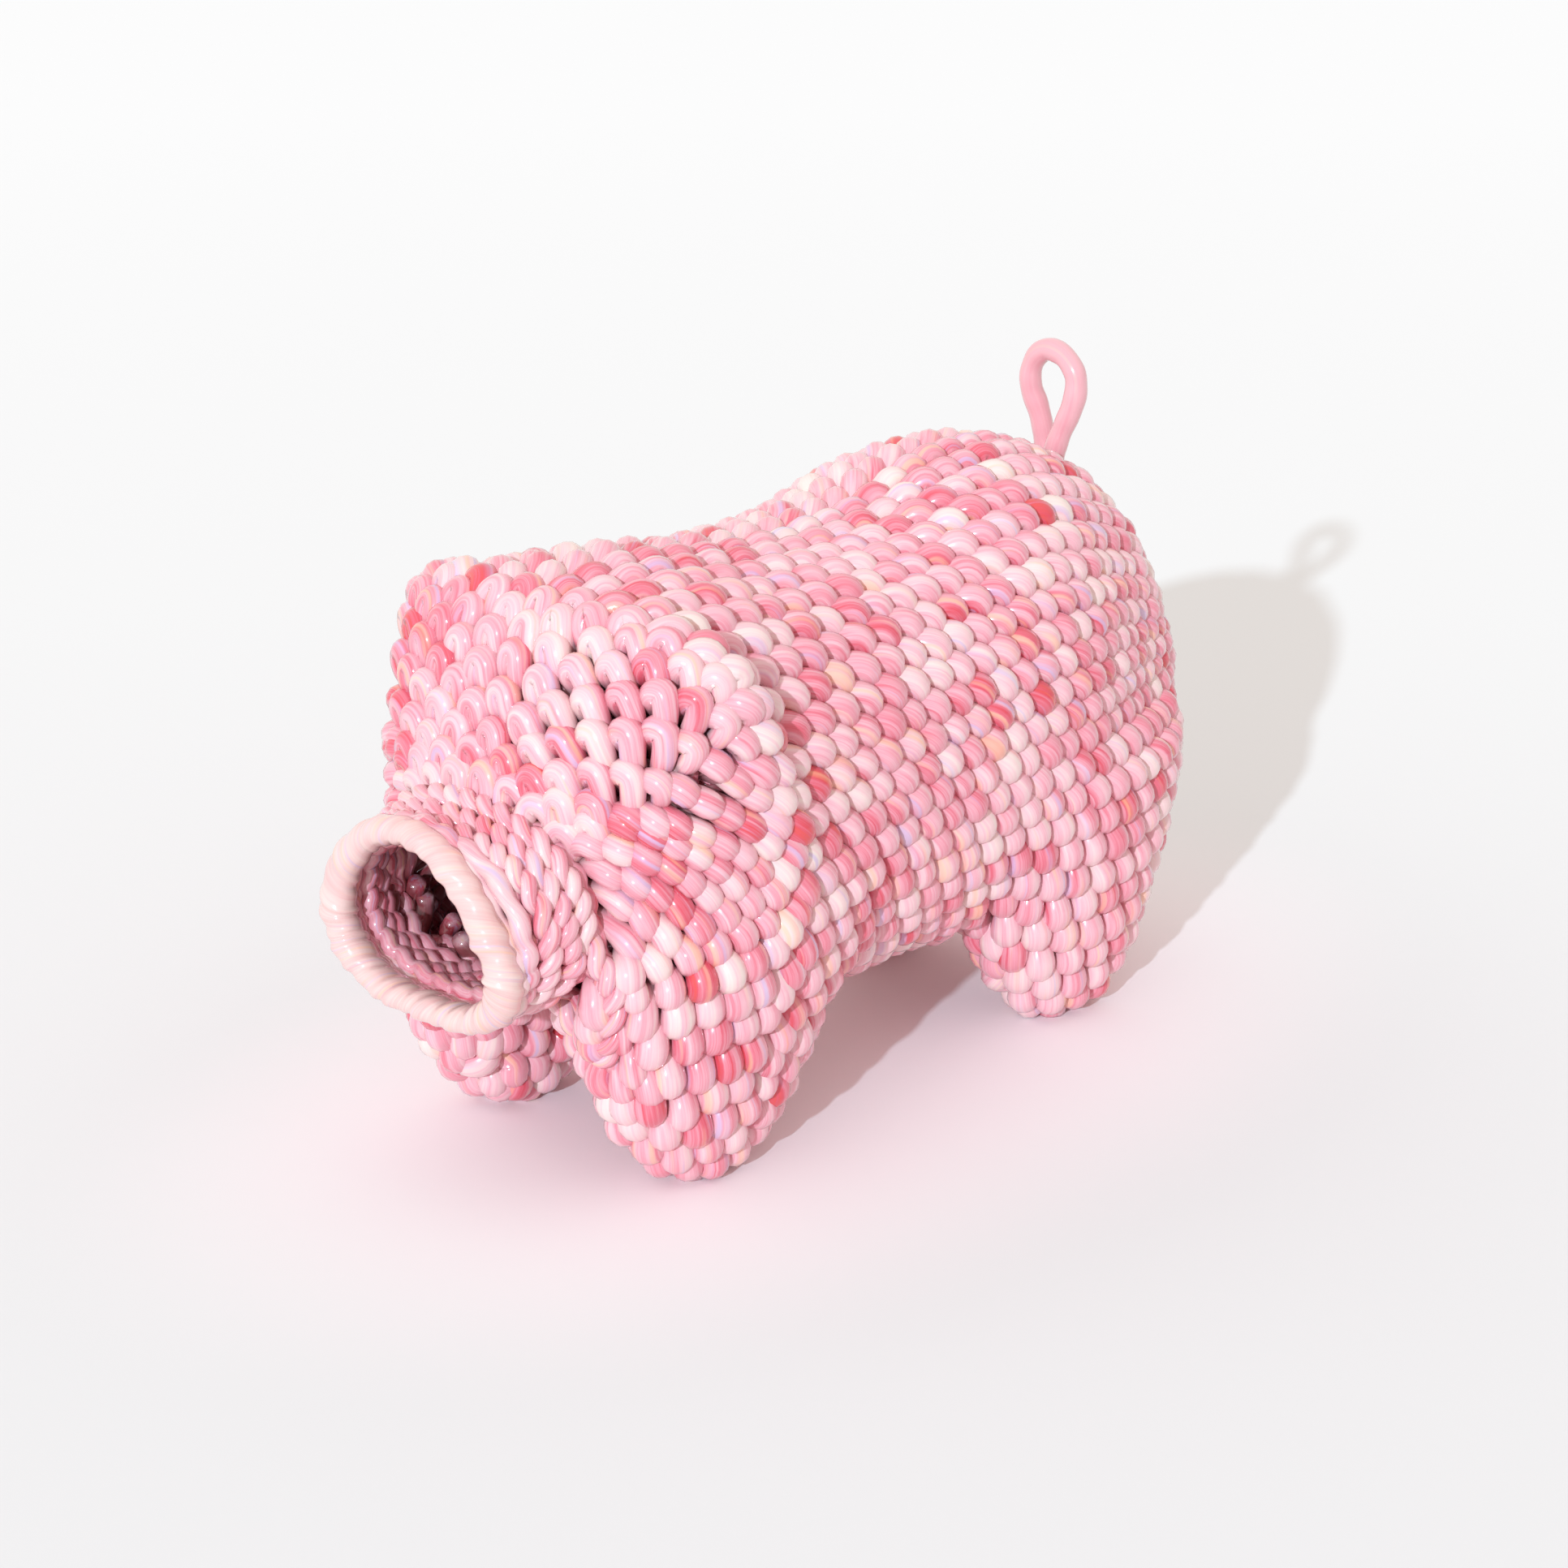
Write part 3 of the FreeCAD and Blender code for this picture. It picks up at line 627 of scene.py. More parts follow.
def inner_rope(i):
    """The inside of strand ring i: a plain twisted rope lying on the wall's inner face."""
    n = i + 0.5
    td = np.linspace(-180.0, 180.0, 73)[:-1]
    P = surf(s_of(np.full_like(td, n), td), np.radians(td))
    seg = np.linalg.norm(np.roll(P, -1, 0) - P, axis=1)
    arc = np.concatenate([[0.0], np.cumsum(seg)])
    m = max(40, int(arc[-1] / (6.0)))
    u = np.arange(m) / m * arc[-1]
    Pc = np.vstack([P, P[:1]])
    c = np.stack([np.interp(u, arc, Pc[:, k]) for k in range(3)], -1)
    nn = np.array([on_surface(p)[1] for p in c])
    for _ in range(2):
        nn = (np.roll(nn, 1, 0) + nn * 2 + np.roll(nn, -1, 0)) / 4
    nn /= np.linalg.norm(nn, axis=1, keepdims=True)
    t = np.roll(c, -1, 0) - np.roll(c, 1, 0)
    t /= np.linalg.norm(t, axis=1, keepdims=True)
    e = np.cross(t, nn)
    turns = max(6, int(round(arc[-1] / 30.0)))
    ph = u / arc[-1] * 2 * np.pi * turns + i * 1.3
    small = min(1.0, arc[-1] / 500.0)
    dep = min(20.5 + 14.5 * float(sst((n - 6.0) / 2.0)), arc[-1] / (2 * np.pi) * 0.6)
    c = c - nn * dep + (nn * np.cos(ph)[:, None] + e * np.sin(ph)[:, None]) * 2.2 * small
    # the wall is open behind the brow's arches
    td = np.interp(u, arc, np.append(td, 180.0))
    sv = s_of(np.full(m, n), td)
    hole = sst((td - 18.0) / 8.0) * sst((54.0 - td) / 8.0) * sst((sv + 362.0) / 12.0) * sst((-262.0 - sv) / 14.0)
    return c - nn * (hole * 14.0)[:, None], (7.6 * small + 1.0) * (1 - 0.72 * hole)


SNOUT_ROPES = {0: [-449.0], 1: [-429.0], 2: [-409.0]}


def snout_line(station, m):
    """Points and outward normals round the snout at a station, evenly spaced."""
    td = np.linspace(-180.0, 180.0, 145)
    P = surf(np.full_like(td, station), np.radians(td))
    arc = np.concatenate([[0.0], np.cumsum(np.linalg.norm(np.diff(P, axis=0), axis=1))])
    u = np.arange(m) / m * arc[-1]
    c = np.stack([np.interp(u, arc, P[:, k]) for k in range(3)], -1)
    nn = np.array([on_surface(p)[1] for p in c])
    return c, nn, u, arc[-1]


# centre line of the rim: x, z, clockwise from the top
RIM = np.array([(-2, 367), (33, 357), (65, 331), (92, 297), (108, 269), (111, 247), (101, 226), (72, 209), (36, 203),
                (0, 203), (-31, 204), (-62, 211), (-90, 228), (-106, 248), (-112, 273), (-101, 309), (-70, 345),
                (-36, 363)], float)


def rim_line(m):
    """Points (x, z) and outward normals of the rim's centre line."""
    x = np.arange(m) / m * len(RIM)
    i = x.astype(int)
    t = (x - i)[:, None]
    q = [RIM[(i + o) % len(RIM)] for o in (-1, 0, 1, 2)]
    c2 = 0.5 * (2 * q[1] + (q[2] - q[0]) * t + (2 * q[0] - 5 * q[1] + 4 * q[2] - q[3]) * t * t
                + (-q[0] + 3 * q[1] - 3 * q[2] + q[3]) * t ** 3)
    d = np.roll(c2, -1, 0) - np.roll(c2, 1, 0)
    d /= np.linalg.norm(d, axis=1, keepdims=True)
    return c2, np.stack([-d[:, 1], d[:, 0]], -1)


def plain_cord(part, rad, seed):
    """A wavy cord between the rim (part 0) and the snout's first rope (part 1)."""
    m = 320
    c2, n2 = rim_line(m)
    if (n2 * (c2 - np.array([0.0, 275.0]))).sum() < 0:
        n2 = -n2
    a = 2 * np.pi * np.arange(m) / m
    wob = np.sin(22 * a + 2 * seed) * 1.0 + np.sin(9 * a + seed) * 0.6
    q = c2 + n2 * (3.0 + wob * 0.8)[:, None]
    A = np.stack([q[:, 0], np.full(m, -474.0), q[:, 1]], -1)
    th = np.arctan2(c2[:, 0], c2[:, 1] - F_ZC(-462.0))
    B = surf(np.full(m, -462.0), th)
    out = B - np.array([0.0, 0.0, 1.0]) * F_ZC(-462.0)
    out[:, 1] = 0
    B = B - out / np.linalg.norm(out, axis=1, keepdims=True) * (9.0 - wob * 0.8)[:, None]
    c = A * (1 - part) + B * part
    c[:, 1] += np.cos(22 * a + 2 * seed) * 1.2
    return c, rad * (1 + 0.10 * np.sin(22 * a + 2 * seed))


def snout_rope(station, seed):
    """Two strands twisted round each other along the snout."""
    m = 420
    c, nn, u, tot = snout_line(station, m)
    t = np.roll(c, -1, 0) - np.roll(c, 1, 0)
    t /= np.linalg.norm(t, axis=1, keepdims=True)
    e = np.cross(t, nn)
    turns = int(round(tot / 48.0))
    out = []
    for q in (0.0, np.pi):
        a = 2 * np.pi * u / tot
        ph = a * turns + q + seed + 0.5 * np.sin(5 * a + seed)
        off = nn * (5.2 * np.cos(ph))[:, None] + e * (5.6 * np.sin(ph))[:, None]
        rad = 7.3 + 0.7 * np.cos(ph) + 0.4 * np.sin(7 * a + 2 * q)
        dep = np.column_stack([5.2 * np.cos(ph) - 2.0, nn])
        out.append((c - nn * 12.0 + off, rad, dep))
    return out


def rmf(c, closed=True):
    """Rotation-minimising frames along a closed or open line."""
    m = len(c)
    if closed:
        t = np.roll(c, -1, 0) - np.roll(c, 1, 0)
    else:
        t = np.gradient(c, axis=0)
    t /= np.linalg.norm(t, axis=1, keepdims=True) + 1e-12
    u = np.zeros_like(c)
    a = np.array([0.0, 0.0, 1.0]) if abs(t[0, 2]) < 0.9 else np.array([1.0, 0.0, 0.0])
    x = a - t[0] * a.dot(t[0])
    u[0] = x / np.linalg.norm(x)
    end = m + 1 if closed else m
    last = None
    for i in range(1, end):
        p, q = c[i - 1], c[i % m]
        t0, t1 = t[i - 1], t[i % m]
        v1 = q - p
        c1 = v1.dot(v1) + 1e-12
        rl = u[i - 1] - (2 / c1) * v1.dot(u[i - 1]) * v1
        tl = t0 - (2 / c1) * v1.dot(t0) * v1
        v2 = t1 - tl
        c2 = v2.dot(v2) + 1e-12
        r = rl - (2 / c2) * v2.dot(rl) * v2
        r = r - t1 * r.dot(t1)
        r /= np.linalg.norm(r) + 1e-12
        if i < m:
            u[i] = r
        else:
            last = r
    if closed:
        w = np.cross(t[0], u[0])
        ang = math.atan2(last.dot(w), last.dot(u[0]))
        k = np.arange(m) / m * (-ang)
        v = np.cross(t, u)
        u = u * np.cos(k)[:, None] + v * np.sin(k)[:, None]
    return t, u, np.cross(t, u)


def tube(c, r, closed=True, sec=12, tone=None, twist=0.0, phase=0.0, dep=None):
    """Tube of radius r along c (u) with its strand coordinates: section angle and length."""
    t, u, v = rmf(c, closed)
    m = len(c)
    f = 2 * np.pi * np.arange(sec) / sec
    V = (c[:, None, :] + r[:, None, None] * (np.cos(f)[None, :, None] * u[:, None, :]
                                             + np.sin(f)[None, :, None] * v[:, None, :])).reshape(-1, 3)
    V[:, 2] = np.maximum(V[:, 2], 0.25)
    i = np.arange(m if closed else m - 1)
    i2 = (i + 1) % m
    k = np.arange(sec)
    k2 = (k + 1) % sec
    F = np.stack([(i[:, None] * sec + k), (i[:, None] * sec + k2), (i2[:, None] * sec + k2),
                  (i2[:, None] * sec + k)], -1).reshape(-1, 4).tolist()
    seg = np.linalg.norm(np.diff(c, axis=0, append=c[:1] if closed else c[-1:]), axis=1)
    ln = np.concatenate([[0.0], np.cumsum(seg)[:-1]])
    ph = f[None, :] + twist * ln[:, None] + phase
    S = np.stack([np.cos(ph), np.sin(ph), np.repeat(ln[:, None], sec, 1) * 0.01], -1).reshape(-1, 3)
    D = np.zeros((m, sec))
    if dep is not None:
        # height of each point against the strand's level: crevices lie below it
        ax = np.cos(f)[None, :, None] * u[:, None, :] + np.sin(f)[None, :, None] * v[:, None, :]
        D = dep[:, 0:1] + r[:, None] * ((ax * dep[:, None, 1:4]).sum(-1))
    D = D.reshape(-1)
    T = np.repeat(tone if tone is not None else np.zeros((m, 3)), sec, 0)
    if not closed:
        V = np.vstack([V, c[:1], c[-1:]])
        S = np.vstack([S, [[0, 0, 0], [0, 0, ln[-1] * 0.01]]])
        T = np.vstack([T, T[:1], T[-1:]])
        D = np.concatenate([D, D[:1], D[-1:]])
        ca, cb = m * sec, m * sec + 1
        for q in range(sec):
            q2 = (q + 1) % sec
            F.append([ca, q2, q])
            F.append([cb, (m - 1) * sec + q, (m - 1) * sec + q2])
    return V, F, S, T, D


def mesh_object(name, parts):
    """One mesh object from tubes; keeps the strand coordinates as attributes."""
    V, F, S, T, D = [], [], [], [], []
    base = 0
    for v, f, sc_, tn, dd in parts:
        D.append(dd)
        V.append(v)
        F += [[q + base for q in x] for x in f]
        S.append(sc_)
        T.append(tn)
        base += len(v)
    me = bpy.data.meshes.new(name)
    me.from_pydata(to_m(np.vstack(V)).tolist(), [], F)
    me.polygons.foreach_set("use_smooth", np.ones(len(me.polygons), bool))
    for key, arr in (("strand", np.vstack(S)), ("tone", np.vstack(T))):
        at = me.attributes.new(key, "FLOAT_VECTOR", "POINT")
        at.data.foreach_set("vector", arr.astype(np.float32).ravel())
    at = me.attributes.new("depth", "FLOAT", "POINT")
    at.data.foreach_set("value", np.concatenate(D).astype(np.float32))
    me.update()
    ob = bpy.data.objects.new(name, me)
    bpy.context.scene.collection.objects.link(ob)
    return ob


# ------------------------------------------------------------------ glaze
def new_mat(name):
    m = bpy.data.materials.new(name)
    m.use_nodes = True
    nt = m.node_tree
    nt.nodes.clear()
    out = nt.nodes.new("ShaderNodeOutputMaterial")
    bs = nt.nodes.new("ShaderNodeBsdfPrincipled")
    nt.links.new(bs.outputs[0], out.inputs[0])
    return m, nt, bs


def mathn(nt, op, a, b=None, c=None):
    n = nt.nodes.new("ShaderNodeMath")
    n.operation = op
    for i, x in enumerate((a, b, c)):
        if x is None:
            continue
        if isinstance(x, (int, float)):
            n.inputs[i].default_value = x
        else:
            nt.links.new(x, n.inputs[i])
    return n.outputs[0]


def ramp(nt, fac, stops, interp="LINEAR"):
    n = nt.nodes.new("ShaderNodeValToRGB")
    n.color_ramp.interpolation = interp
    els = n.color_ramp.elements
    while len(els) > 1:
        els.remove(els[-1])
    els[0].position = stops[0][0]
    els[0].color = tuple(stops[0][1]) + (1.0,)
    for p, c in stops[1:]:
        e = els.new(p)
        e.color = tuple(c) + (1.0,)
    nt.links.new(fac, n.inputs[0])
    return n.outputs[0]


def lin(r, g, b):
    def f(x):
        x /= 255.0
        return x / 12.92 if x <= 0.04045 else ((x + 0.055) / 1.055) ** 2.4
    return (f(r), f(g), f(b))


def glaze(name, stops, along=1.0, contrast=1.0, seed=0.0, base=0.0, tints=1.0, rough=0.3):
    """Marbled glaze: soft colour bands running along the strand, with finer streaks."""
    m, nt, bs = new_mat(name)
    at = nt.nodes.new("ShaderNodeAttribute")
    at.attribute_name = "strand"
    tn = nt.nodes.new("ShaderNodeAttribute")
    tn.attribute_name = "tone"
    sep = nt.nodes.new("ShaderNodeSeparateXYZ")
    nt.links.new(tn.outputs["Vector"], sep.inputs[0])
    comb = nt.nodes.new("ShaderNodeCombineXYZ")
    comb.inputs[0].default_value = seed
    nt.links.new(mathn(nt, "MULTIPLY", sep.outputs[1], 37.0), comb.inputs[1])
    nt.links.new(mathn(nt, "MULTIPLY", sep.outputs[2], 11.0), comb.inputs[2])

    def coords(scale):
        mp = nt.nodes.new("ShaderNodeMapping")
        mp.inputs["Scale"].default_value = scale
        nt.links.new(at.outputs["Vector"], mp.inputs["Vector"])
        add = nt.nodes.new("ShaderNodeVectorMath")
        add.operation = "ADD"
        nt.links.new(mp.outputs[0], add.inputs[0])
        nt.links.new(comb.outputs[0], add.inputs[1])
        return add.outputs[0]

    def noise(vec, scale, detail, rgh, dist):
        n = nt.nodes.new("ShaderNodeTexNoise")
        n.inputs["Scale"].default_value = scale
        n.inputs["Detail"].default_value = detail
        n.inputs["Roughness"].default_value = rgh
        n.inputs["Distortion"].default_value = dist
        nt.links.new(vec, n.inputs["Vector"])
        return n.outputs["Fac"]

    broad = noise(coords((0.8, 0.8, 1.0 * along)), 1.0, 2.0, 0.5, 0.6)
    mid = noise(coords((2.2, 2.2, 0.9 * along)), 1.3, 3.0, 0.6, 0.7)
    fine = noise(coords((6.5, 6.5, 1.1 * along)), 1.2, 2.0, 0.55, 0.4)
    v = mathn(nt, "MULTIPLY", mathn(nt, "SUBTRACT", broad, 0.5), 0.95 * contrast)
    v = mathn(nt, "MULTIPLY_ADD", mathn(nt, "SUBTRACT", mid, 0.5), 0.70 * contrast, v)
    v = mathn(nt, "MULTIPLY_ADD", mathn(nt, "SUBTRACT", fine, 0.5), 0.34 * contrast, v)
    v = mathn(nt, "MULTIPLY_ADD", sep.outputs[0], 0.13, v)
    v = mathn(nt, "ADD", v, 0.5 + base)
    col = ramp(nt, v, stops)
    # rare tints: warm peach and cool lavender
    tint = noise(coords((1.3, 1.3, 0.8 * along)), 1.1, 1.5, 0.5, 0.3)
    off = nt.nodes.new("ShaderNodeVectorMath")
    off.operation = "ADD"
    off.inputs[1].default_value = (17.3, 5.1, 9.7)
    src = tint.node.inputs["Vector"].links[0].from_socket
    nt.links.new(src, off.inputs[0])
    nt.links.new(off.outputs[0], tint.node.inputs["Vector"])
    for lo, hi, c, amt in ((0.61, 0.72, lin(250, 190, 150), 0.55), (0.37, 0.27, lin(200, 178, 214), 0.65)):
        mr = nt.nodes.new("ShaderNodeMapRange")
        mr.inputs["From Min"].default_value = lo
        mr.inputs["From Max"].default_value = hi
        mr.inputs["To Min"].default_value = 0.0
        mr.inputs["To Max"].default_value = amt * tints
        nt.links.new(tint, mr.inputs["Value"])
        mx = nt.nodes.new("ShaderNodeMix")
        mx.data_type = "RGBA"
        nt.links.new(mr.outputs[0], mx.inputs["Factor"])
        nt.links.new(col, mx.inputs["A"])
        mx.inputs["B"].default_value = c + (1.0,)
        col = mx.outputs["Result"]
    # painted shade: the colour is multiplied toward deep red in the crevices between the strands, below the strand's
    # level, easing off again for the deepest parts
    dp = nt.nodes.new("ShaderNodeAttribute")
    dp.attribute_name = "depth"
    mr = nt.nodes.new("ShaderNodeMapRange")
    mr.interpolation_type = "SMOOTHSTEP"
    mr.inputs["From Min"].default_value = 3.0
    mr.inputs["From Max"].default_value = -17.0
    mr.inputs["To Min"].default_value = 0.0
    mr.inputs["To Max"].default_value = 0.92
    nt.links.new(dp.outputs["Fac"], mr.inputs["Value"])
    mb = nt.nodes.new("ShaderNodeMapRange")
    mb.inputs["From Min"].default_value = -22.0
    mb.inputs["From Max"].default_value = -36.0
    mb.inputs["To Min"].default_value = 1.0
    mb.inputs["To Max"].default_value = 0.25
    nt.links.new(dp.outputs["Fac"], mb.inputs["Value"])
    mx = nt.nodes.new("ShaderNodeMix")
    mx.data_type = "RGBA"
    mx.blend_type = "MULTIPLY"
    nt.links.new(mathn(nt, "MULTIPLY", mr.outputs[0], mb.outputs[0]), mx.inputs["Factor"])
    nt.links.new(col, mx.inputs["A"])
    mx.inputs["B"].default_value = (0.24, 0.065, 0.065, 1.0)
    nt.links.new(mx.outputs["Result"], bs.inputs["Base Color"])
    bs.inputs["Roughness"].default_value = rough
    bs.inputs["IOR"].default_value = 1.45
    bs.inputs["Specular IOR Level"].default_value = 0.25
    bs.inputs["Coat Weight"].default_value = 1.0
    bs.inputs["Coat Roughness"].default_value = 0.11
    bs.inputs["Coat IOR"].default_value = 1.5
    bp = nt.nodes.new("ShaderNodeBump")
    bp.inputs["Strength"].default_value = 0.08
    bp.inputs["Distance"].default_value = 0.0004
    nt.links.new(mid, bp.inputs["Height"])
    nt.links.new(bp.outputs[0], bs.inputs["Normal"])
    return m


BODY_STOPS = [(0.0, lin(236, 212, 204)), (0.20, lin(236, 200, 198)), (0.36, lin(235, 184, 190)),
              (0.50, lin(231, 163, 174)), (0.64, lin(226, 137, 151)), (0.78, lin(219, 104, 121)),
              (0.90, lin(214, 76, 92)), (1.0, lin(218, 74, 76))]
RIM_STOPS = [(0.0, lin(236, 212, 202)), (0.4, lin(234, 198, 192)), (0.7, lin(231, 182, 179)), (1.0, lin(226, 160, 160))]
TAIL_STOPS = [(0.0, lin(236, 192, 192)), (0.4, lin(233, 176, 181)), (0.7, lin(228, 158, 167)), (1.0, lin(222, 140, 152))]
MAT_BODY = glaze("marbled_glaze", BODY_STOPS)
MAT_RIM = glaze("cream_glaze", RIM_STOPS, 1.0, 0.9, 3.7, 0.0, 0.8, 0.35)
MAT_TAIL = glaze("pale_glaze", TAIL_STOPS, 0.6, 0.6, 8.1, 0.0, 0.3)


# ------------------------------------------------------------------ rows
SEC = 12
knots = np.random.RandomState(7).normal(0, 1, (80, 20))
chance = np.random.RandomState(8).normal(0, 1, (80, 64))


def tone_of(ring, th, lobe):
    """Slow colour change along each ring; neighbouring rings and loops differ."""
    x = (th + 180.0) / 360.0 * 16.0 + ring * 1.37
    i = np.floor(x).astype(int)
    f = x - i
    f = f * f * (3 - 2 * f)
    a = knots[ring % 80, i % 20]
    b = knots[ring % 80, (i + 1) % 20]
    return a * (1 - f) + b * f + 0.7 * chance[ring % 80, lobe % 64]


ALL_N, ALL_TH, ALL_S, ALL_RING, EXTRA = all_loops()
ALL_P = surf(ALL_S, np.radians(ALL_TH))
EXTRA_ROW = [row_of(p) for p in EXTRA]
print("loops", len(ALL_N), "extra", len(EXTRA))

for k in range(N_ROWS):
    parts = []
    if k not in SNOUT_ROPES:
        d = build_row(k)
        tone = np.stack([tone_of(d["ring"], d["th"], d["lobe"]), np.full(len(d["ring"]), k * 0.173 % 1.0),
                         np.zeros(len(d["ring"]))], -1)
        # colours change softly from loop to loop along the strand
        for _ in range(6):
            tone[:, 0] = (np.roll(tone[:, 0], 1) + 2 * tone[:, 0] + np.roll(tone[:, 0], -1)) / 4
        parts.append(tube(d["c"], d["r"], True, SEC, tone, 0.012, 0.0, d["dep"]))
    for c, r, j, dp in extra_loops(k):
        tn = np.stack([np.full(len(c), 0.8 * chance[k, j % 64]), np.full(len(c), (k * 0.31 + j * 0.17) % 1.0),
                       np.full(len(c), 0.2 * j)], -1)
        parts.append(tube(c, r, False, SEC, tn, 0.012, j * 1.0, dp))
    if k == 0:
        for part, rq, sd in ((0.0, 9.8, 1), (0.75, 9.4, 2)):
            c, r = plain_cord(part, rq, sd)
            tn = np.stack([-0.6 + 0.8 * np.sin(np.arange(len(c)) * 0.05 + sd), np.full(len(c), 0.37 * sd), np.zeros(len(c))], -1)
            parts.append(tube(c, r, True, 10, tn, 0.03))
    for st_ in SNOUT_ROPES.get(k, ()):
        for q, (c, r, dp) in enumerate(snout_rope(st_, 1.7 * k)):
            x = np.arange(len(c)) / len(c) * 2 * np.pi
            tn = np.stack([-0.3 + 1.1 * np.sin(3 * x + k + q) * np.sin(7 * x + 2 * q), np.full(len(c), 0.41 * k + 0.2 * q),
                           np.full(len(c), 0.3 * q)], -1)
            parts.append(tube(c, r, True, 10, tn, 0.02, 0.0, dp))
    for i in (2 * k, 2 * k + 1):
        c, r = inner_rope(i)
        tn = np.stack([np.full(len(c), 0.6), np.full(len(c), i * 0.219 % 1.0), np.full(len(c), 0.5)], -1)
        parts.append(tube(c, r, True, 8, tn, 0.03))
    ob = mesh_object("looped_row_%02d" % (k + 1), parts)
    ob.data.materials.append(MAT_BODY)
    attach(ob, "root")
    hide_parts("coil_row_%02d" % (k + 1))


# ------------------------------------------------------------------ rump cap
def rump_spiral():
    """The last turns of the strand: a spiral of loops closing on the rump's pole."""
    c, r = [], []
    turns, per = 2.0, 7
    tot = int(turns * per)
    for j in range(tot + 1):
        q = j / tot
        n = 70.4 + 1.45 * q
        th = 360.0 * j / per
        for h, dt, dr in ((-16, -0.30, 9.0), (-5, -0.16, 11.0), (0, 0.0, 12.0), (-5, 0.16, 11.0), (-16, 0.30, 9.0)):
            t = th + dt * 360.0 / per
            s_ = min(float(s_of(np.array([n]), np.array([t]))[0]), 499.0)
            co, nn = on_surface(surf(np.array([s_]), np.radians(np.array([t])))[0])
            c.append(co + nn * (h - LEVEL))
            r.append(dr * (1 - 0.15 * q))
    C, r = np.array(c), np.array(r)
    t = np.arange(len(C))
    tt = np.linspace(0, len(C) - 1, len(C) * 3)
    return np.stack([pchip(t, C[:, i])(tt) for i in range(3)], -1), pchip(t, r)(tt)


Q, R = rump_spiral()
tone = np.stack([np.full(len(Q), -0.2), np.full(len(Q), 0.4), np.zeros(len(Q))], -1)
ob = mesh_object("rump_curl", [tube(Q, R, False, 12, tone, 0.012)])
ob.data.materials.append(MAT_BODY)
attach(ob, "root")
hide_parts("rump_cap")

# ------------------------------------------------------------------ snout rim
def rim_rope():
    m = 420
    c2, n2 = rim_line(m)
    u = 2 * np.pi * np.arange(m) / m
    rr = np.random.RandomState(3)
    wob = sum(rr.normal(0, 0.75) * np.sin(k * u + rr.uniform(0, 6.28)) for k in range(3, 20))
    sec = 32
    f = 2 * np.pi * np.arange(sec) / sec
    ph = f[None, :] + 15.0 * u[:, None]
    lob = 0.05 * np.cos(2 * ph) + 0.02 * np.cos(3 * ph + 1.0)
    rad = 13.3 + 5.5 * n2[:, 0] ** 2
    front = 16.4 * (1 + 0.02 * wob)
    back = 17.6 - 0.044 * (c2[:, 1] - 279.0)
    k1 = 0.965 + lob + 0.012 * wob[:, None]
    V = np.zeros((m, sec, 3))
    cf, sf = np.cos(f)[None, :], np.sin(f)[None, :]
    V[..., 0] = c2[:, 0:1] + n2[:, 0:1] * rad[:, None] * k1 * cf
    V[..., 2] = c2[:, 1:2] + n2[:, 1:2] * rad[:, None] * k1 * cf
    V[..., 1] = -490.0 - sf * np.where(sf > 0, front[:, None] * k1, back[:, None] * k1)
    idx = np.arange(m)
    i2 = (idx + 1) % m
    k = np.arange(sec)
    k2 = (k + 1) % sec
    F = np.stack([(idx[:, None] * sec + k), (idx[:, None] * sec + k2), (i2[:, None] * sec + k2),
                  (i2[:, None] * sec + k)], -1).reshape(-1, 4).tolist()
    S = np.stack([np.cos(ph * 1.0), np.sin(ph * 1.0), np.repeat(u[:, None] * 3.0, sec, 1)], -1).reshape(-1, 3)
    return V.reshape(-1, 3), F, S, np.zeros((m * sec, 3)), np.zeros(m * sec)


ob = mesh_object("rim_rope", [rim_rope()])
ob.data.materials.append(MAT_RIM)
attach(ob, "root")
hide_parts("snout_rim")

# ------------------------------------------------------------------ tail loop
TAIL = np.array([(-8, 404, 520), (-10, 403, 546), (-12, 403, 560), (-16, 402, 582), (-21, 400, 600), (-26, 397, 615),
                 (-27, 395, 630), (-22, 395, 647), (-12, 395, 658), (0, 395, 662), (14, 395, 659), (27, 395, 649),
                 (34, 395, 637), (35, 394, 622), (32, 392, 606), (25, 390, 588), (18, 388, 570), (12, 387, 548),
                 (9, 386, 522)], float)
ts = np.concatenate([[0.0], np.cumsum(np.linalg.norm(np.diff(TAIL, axis=0), axis=1))])
tt = np.linspace(0, ts[-1], 150)
Q = np.stack([pchip(ts, TAIL[:, i])(tt) for i in range(3)], -1)
for _ in range(6):
    Q[1:-1] = (Q[:-2] + 2 * Q[1:-1] + Q[2:]) / 4
rt = 11.8 * (1 + 0.03 * np.sin(tt * 0.09) + 0.02 * np.sin(tt * 0.23 + 1))
ob = mesh_object("tail_strand", [tube(Q, rt, False, 24, None, 0.004)])
ob.data.materials.append(MAT_TAIL)
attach(ob, "root")
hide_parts("tail_loop")

# ------------------------------------------------------------------ floor
verts, faces = [], []
X0, X1, Y0, Y1 = -14.0, 14.0, -14.0, 14.0
nx = 56
for i in range(nx + 1):
    for j in range(nx + 1):
        verts.append((X0 + (X1 - X0) * i / nx, Y0 + (Y1 - Y0) * j / nx, 0.0))
for i in range(nx):
    for j in range(nx):
        a = i * (nx + 1) + j
        faces.append((a, a + nx + 1, a + nx + 2, a + 1))
me = bpy.data.meshes.new("studio_floor")
me.from_pydata(verts, [], faces)
fl = bpy.data.objects.new("studio_floor", me)
bpy.context.scene.collection.objects.link(fl)
m, nt, bs = new_mat("floor_paper")
tc = nt.nodes.new("ShaderNodeTexCoord")
nz = nt.nodes.new("ShaderNodeTexNoise")
nz.inputs["Scale"].default_value = 900.0
nt.links.new(tc.outputs["Object"], nz.inputs["Vector"])
sp = nt.nodes.new("ShaderNodeSeparateXYZ")
nt.links.new(tc.outputs["Object"], sp.inputs[0])
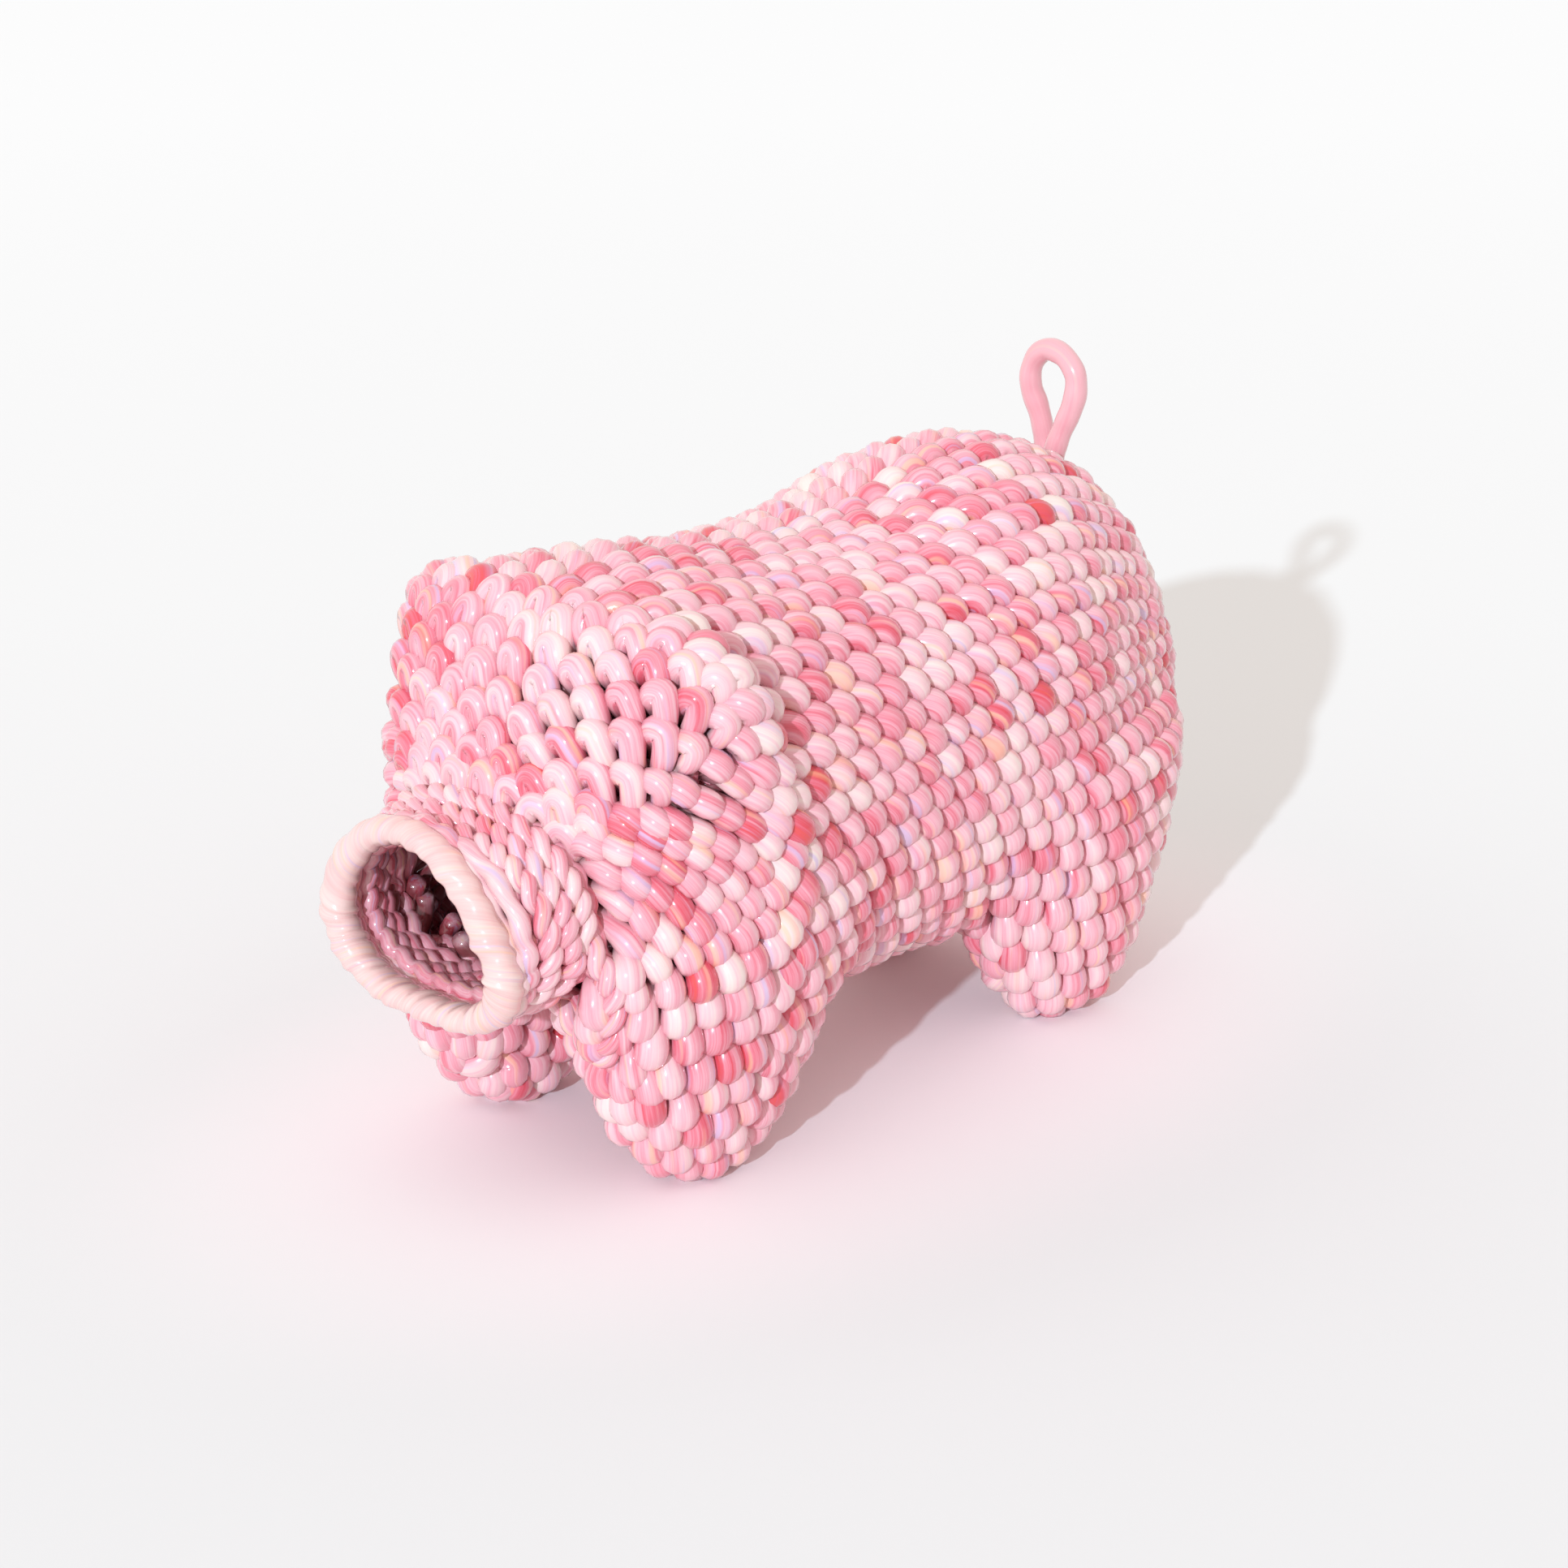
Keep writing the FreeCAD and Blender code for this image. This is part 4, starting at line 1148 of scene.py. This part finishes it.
# painted light: the floor's colour grows lighter away from the camera, standing in for a brighter lit far floor
far = mathn(nt, "MULTIPLY", sp.outputs[0], -0.685)
far = mathn(nt, "MULTIPLY_ADD", sp.outputs[1], 0.729, far)
far = mathn(nt, "MULTIPLY_ADD", nz.outputs["Fac"], 0.02, far)
far = mathn(nt, "MULTIPLY_ADD", far, 0.5, 0.25)
col = ramp(nt, far, [(0.0, (0.752, 0.750, 0.756)), (0.25, (0.775, 0.772, 0.775)), (0.45, (0.800, 0.799, 0.799)),
                     (1.0, (0.83, 0.83, 0.83))])
# painted light: a lighter pink patch under and round the figure stands in for pink light bounced off it onto the floor
ex = mathn(nt, "MULTIPLY", sp.outputs[0], 9.5)
ey = mathn(nt, "MULTIPLY", sp.outputs[1], 5.6)
er = mathn(nt, "SQRT", mathn(nt, "ADD", mathn(nt, "MULTIPLY", ex, ex), mathn(nt, "MULTIPLY", ey, ey)))
mr = nt.nodes.new("ShaderNodeMapRange")
mr.interpolation_type = "SMOOTHSTEP"
mr.inputs["From Min"].default_value = 1.30
mr.inputs["From Max"].default_value = 0.40
nt.links.new(er, mr.inputs["Value"])
mx = nt.nodes.new("ShaderNodeMix")
mx.data_type = "RGBA"
nt.links.new(mr.outputs[0], mx.inputs["Factor"])
nt.links.new(col, mx.inputs["A"])
mx.inputs["B"].default_value = (0.965, 0.890, 0.905, 1.0)
nt.links.new(mx.outputs["Result"], bs.inputs["Base Color"])
bs.inputs["Roughness"].default_value = 0.9
bs.inputs["Specular IOR Level"].default_value = 0.0
me.materials.append(m)

# ------------------------------------------------------------------ light
sc = bpy.context.scene
world = bpy.data.worlds.new("studio")
sc.world = world
world.use_nodes = True
wn = world.node_tree
wn.nodes["Background"].inputs[0].default_value = (1.0, 0.947, 0.910, 1.0)
wtc = wn.nodes.new("ShaderNodeTexCoord")
wsp = wn.nodes.new("ShaderNodeSeparateXYZ")
wn.links.new(wtc.outputs["Generated"], wsp.inputs[0])
side = mathn(wn, "MULTIPLY_ADD", wsp.outputs[0], 0.85, mathn(wn, "MULTIPLY", wsp.outputs[1], 0.35))
side = mathn(wn, "MAXIMUM", side, 0.0)
low = mathn(wn, "SUBTRACT", 1.0, mathn(wn, "MAXIMUM", wsp.outputs[2], 0.0))
dim = mathn(wn, "MULTIPLY", mathn(wn, "MULTIPLY", side, low), -0.60)
wn.links.new(mathn(wn, "MULTIPLY", mathn(wn, "ADD", 1.0, dim), 1.01), wn.nodes["Background"].inputs[1])


def direction(az, el):
    a, e = math.radians(az), math.radians(el)
    return Vector((math.sin(a) * math.cos(e), -math.cos(a) * math.cos(e), math.sin(e)))


def sun(name, az, el, strength, angle, color):
    ld = bpy.data.lights.new(name, "SUN")
    ld.energy = strength
    ld.angle = math.radians(angle)
    ld.color = color
    lo = bpy.data.objects.new(name, ld)
    d = direction(az, el)
    lo.location = d * 2.0
    lo.rotation_mode = "QUATERNION"
    lo.rotation_quaternion = d.to_track_quat("Z", "Y")
    sc.collection.objects.link(lo)
    return lo


sun("key", 24.5, 20.5, 2.69, 1.3, (0.71, 0.877, 1.0))

# ------------------------------------------------------------------ camera
cam = bpy.data.cameras.new("camera")
cam.sensor_width = 36.0
cam.lens = 36.0 * 4400.0 / 1932.0
cam.clip_start, cam.clip_end = 0.02, 20.0
co = bpy.data.objects.new("camera", cam)
co.location = Vector((0.586904, -0.627020 + SHIFT_Y, 0.382449))
co.rotation_mode = "QUATERNION"
co.rotation_quaternion = direction(43.2104, 19.7679).to_track_quat("Z", "Y")
sc.collection.objects.link(co)
sc.camera = co
sc.view_settings.view_transform = "Standard"
sc.view_settings.look = "None"
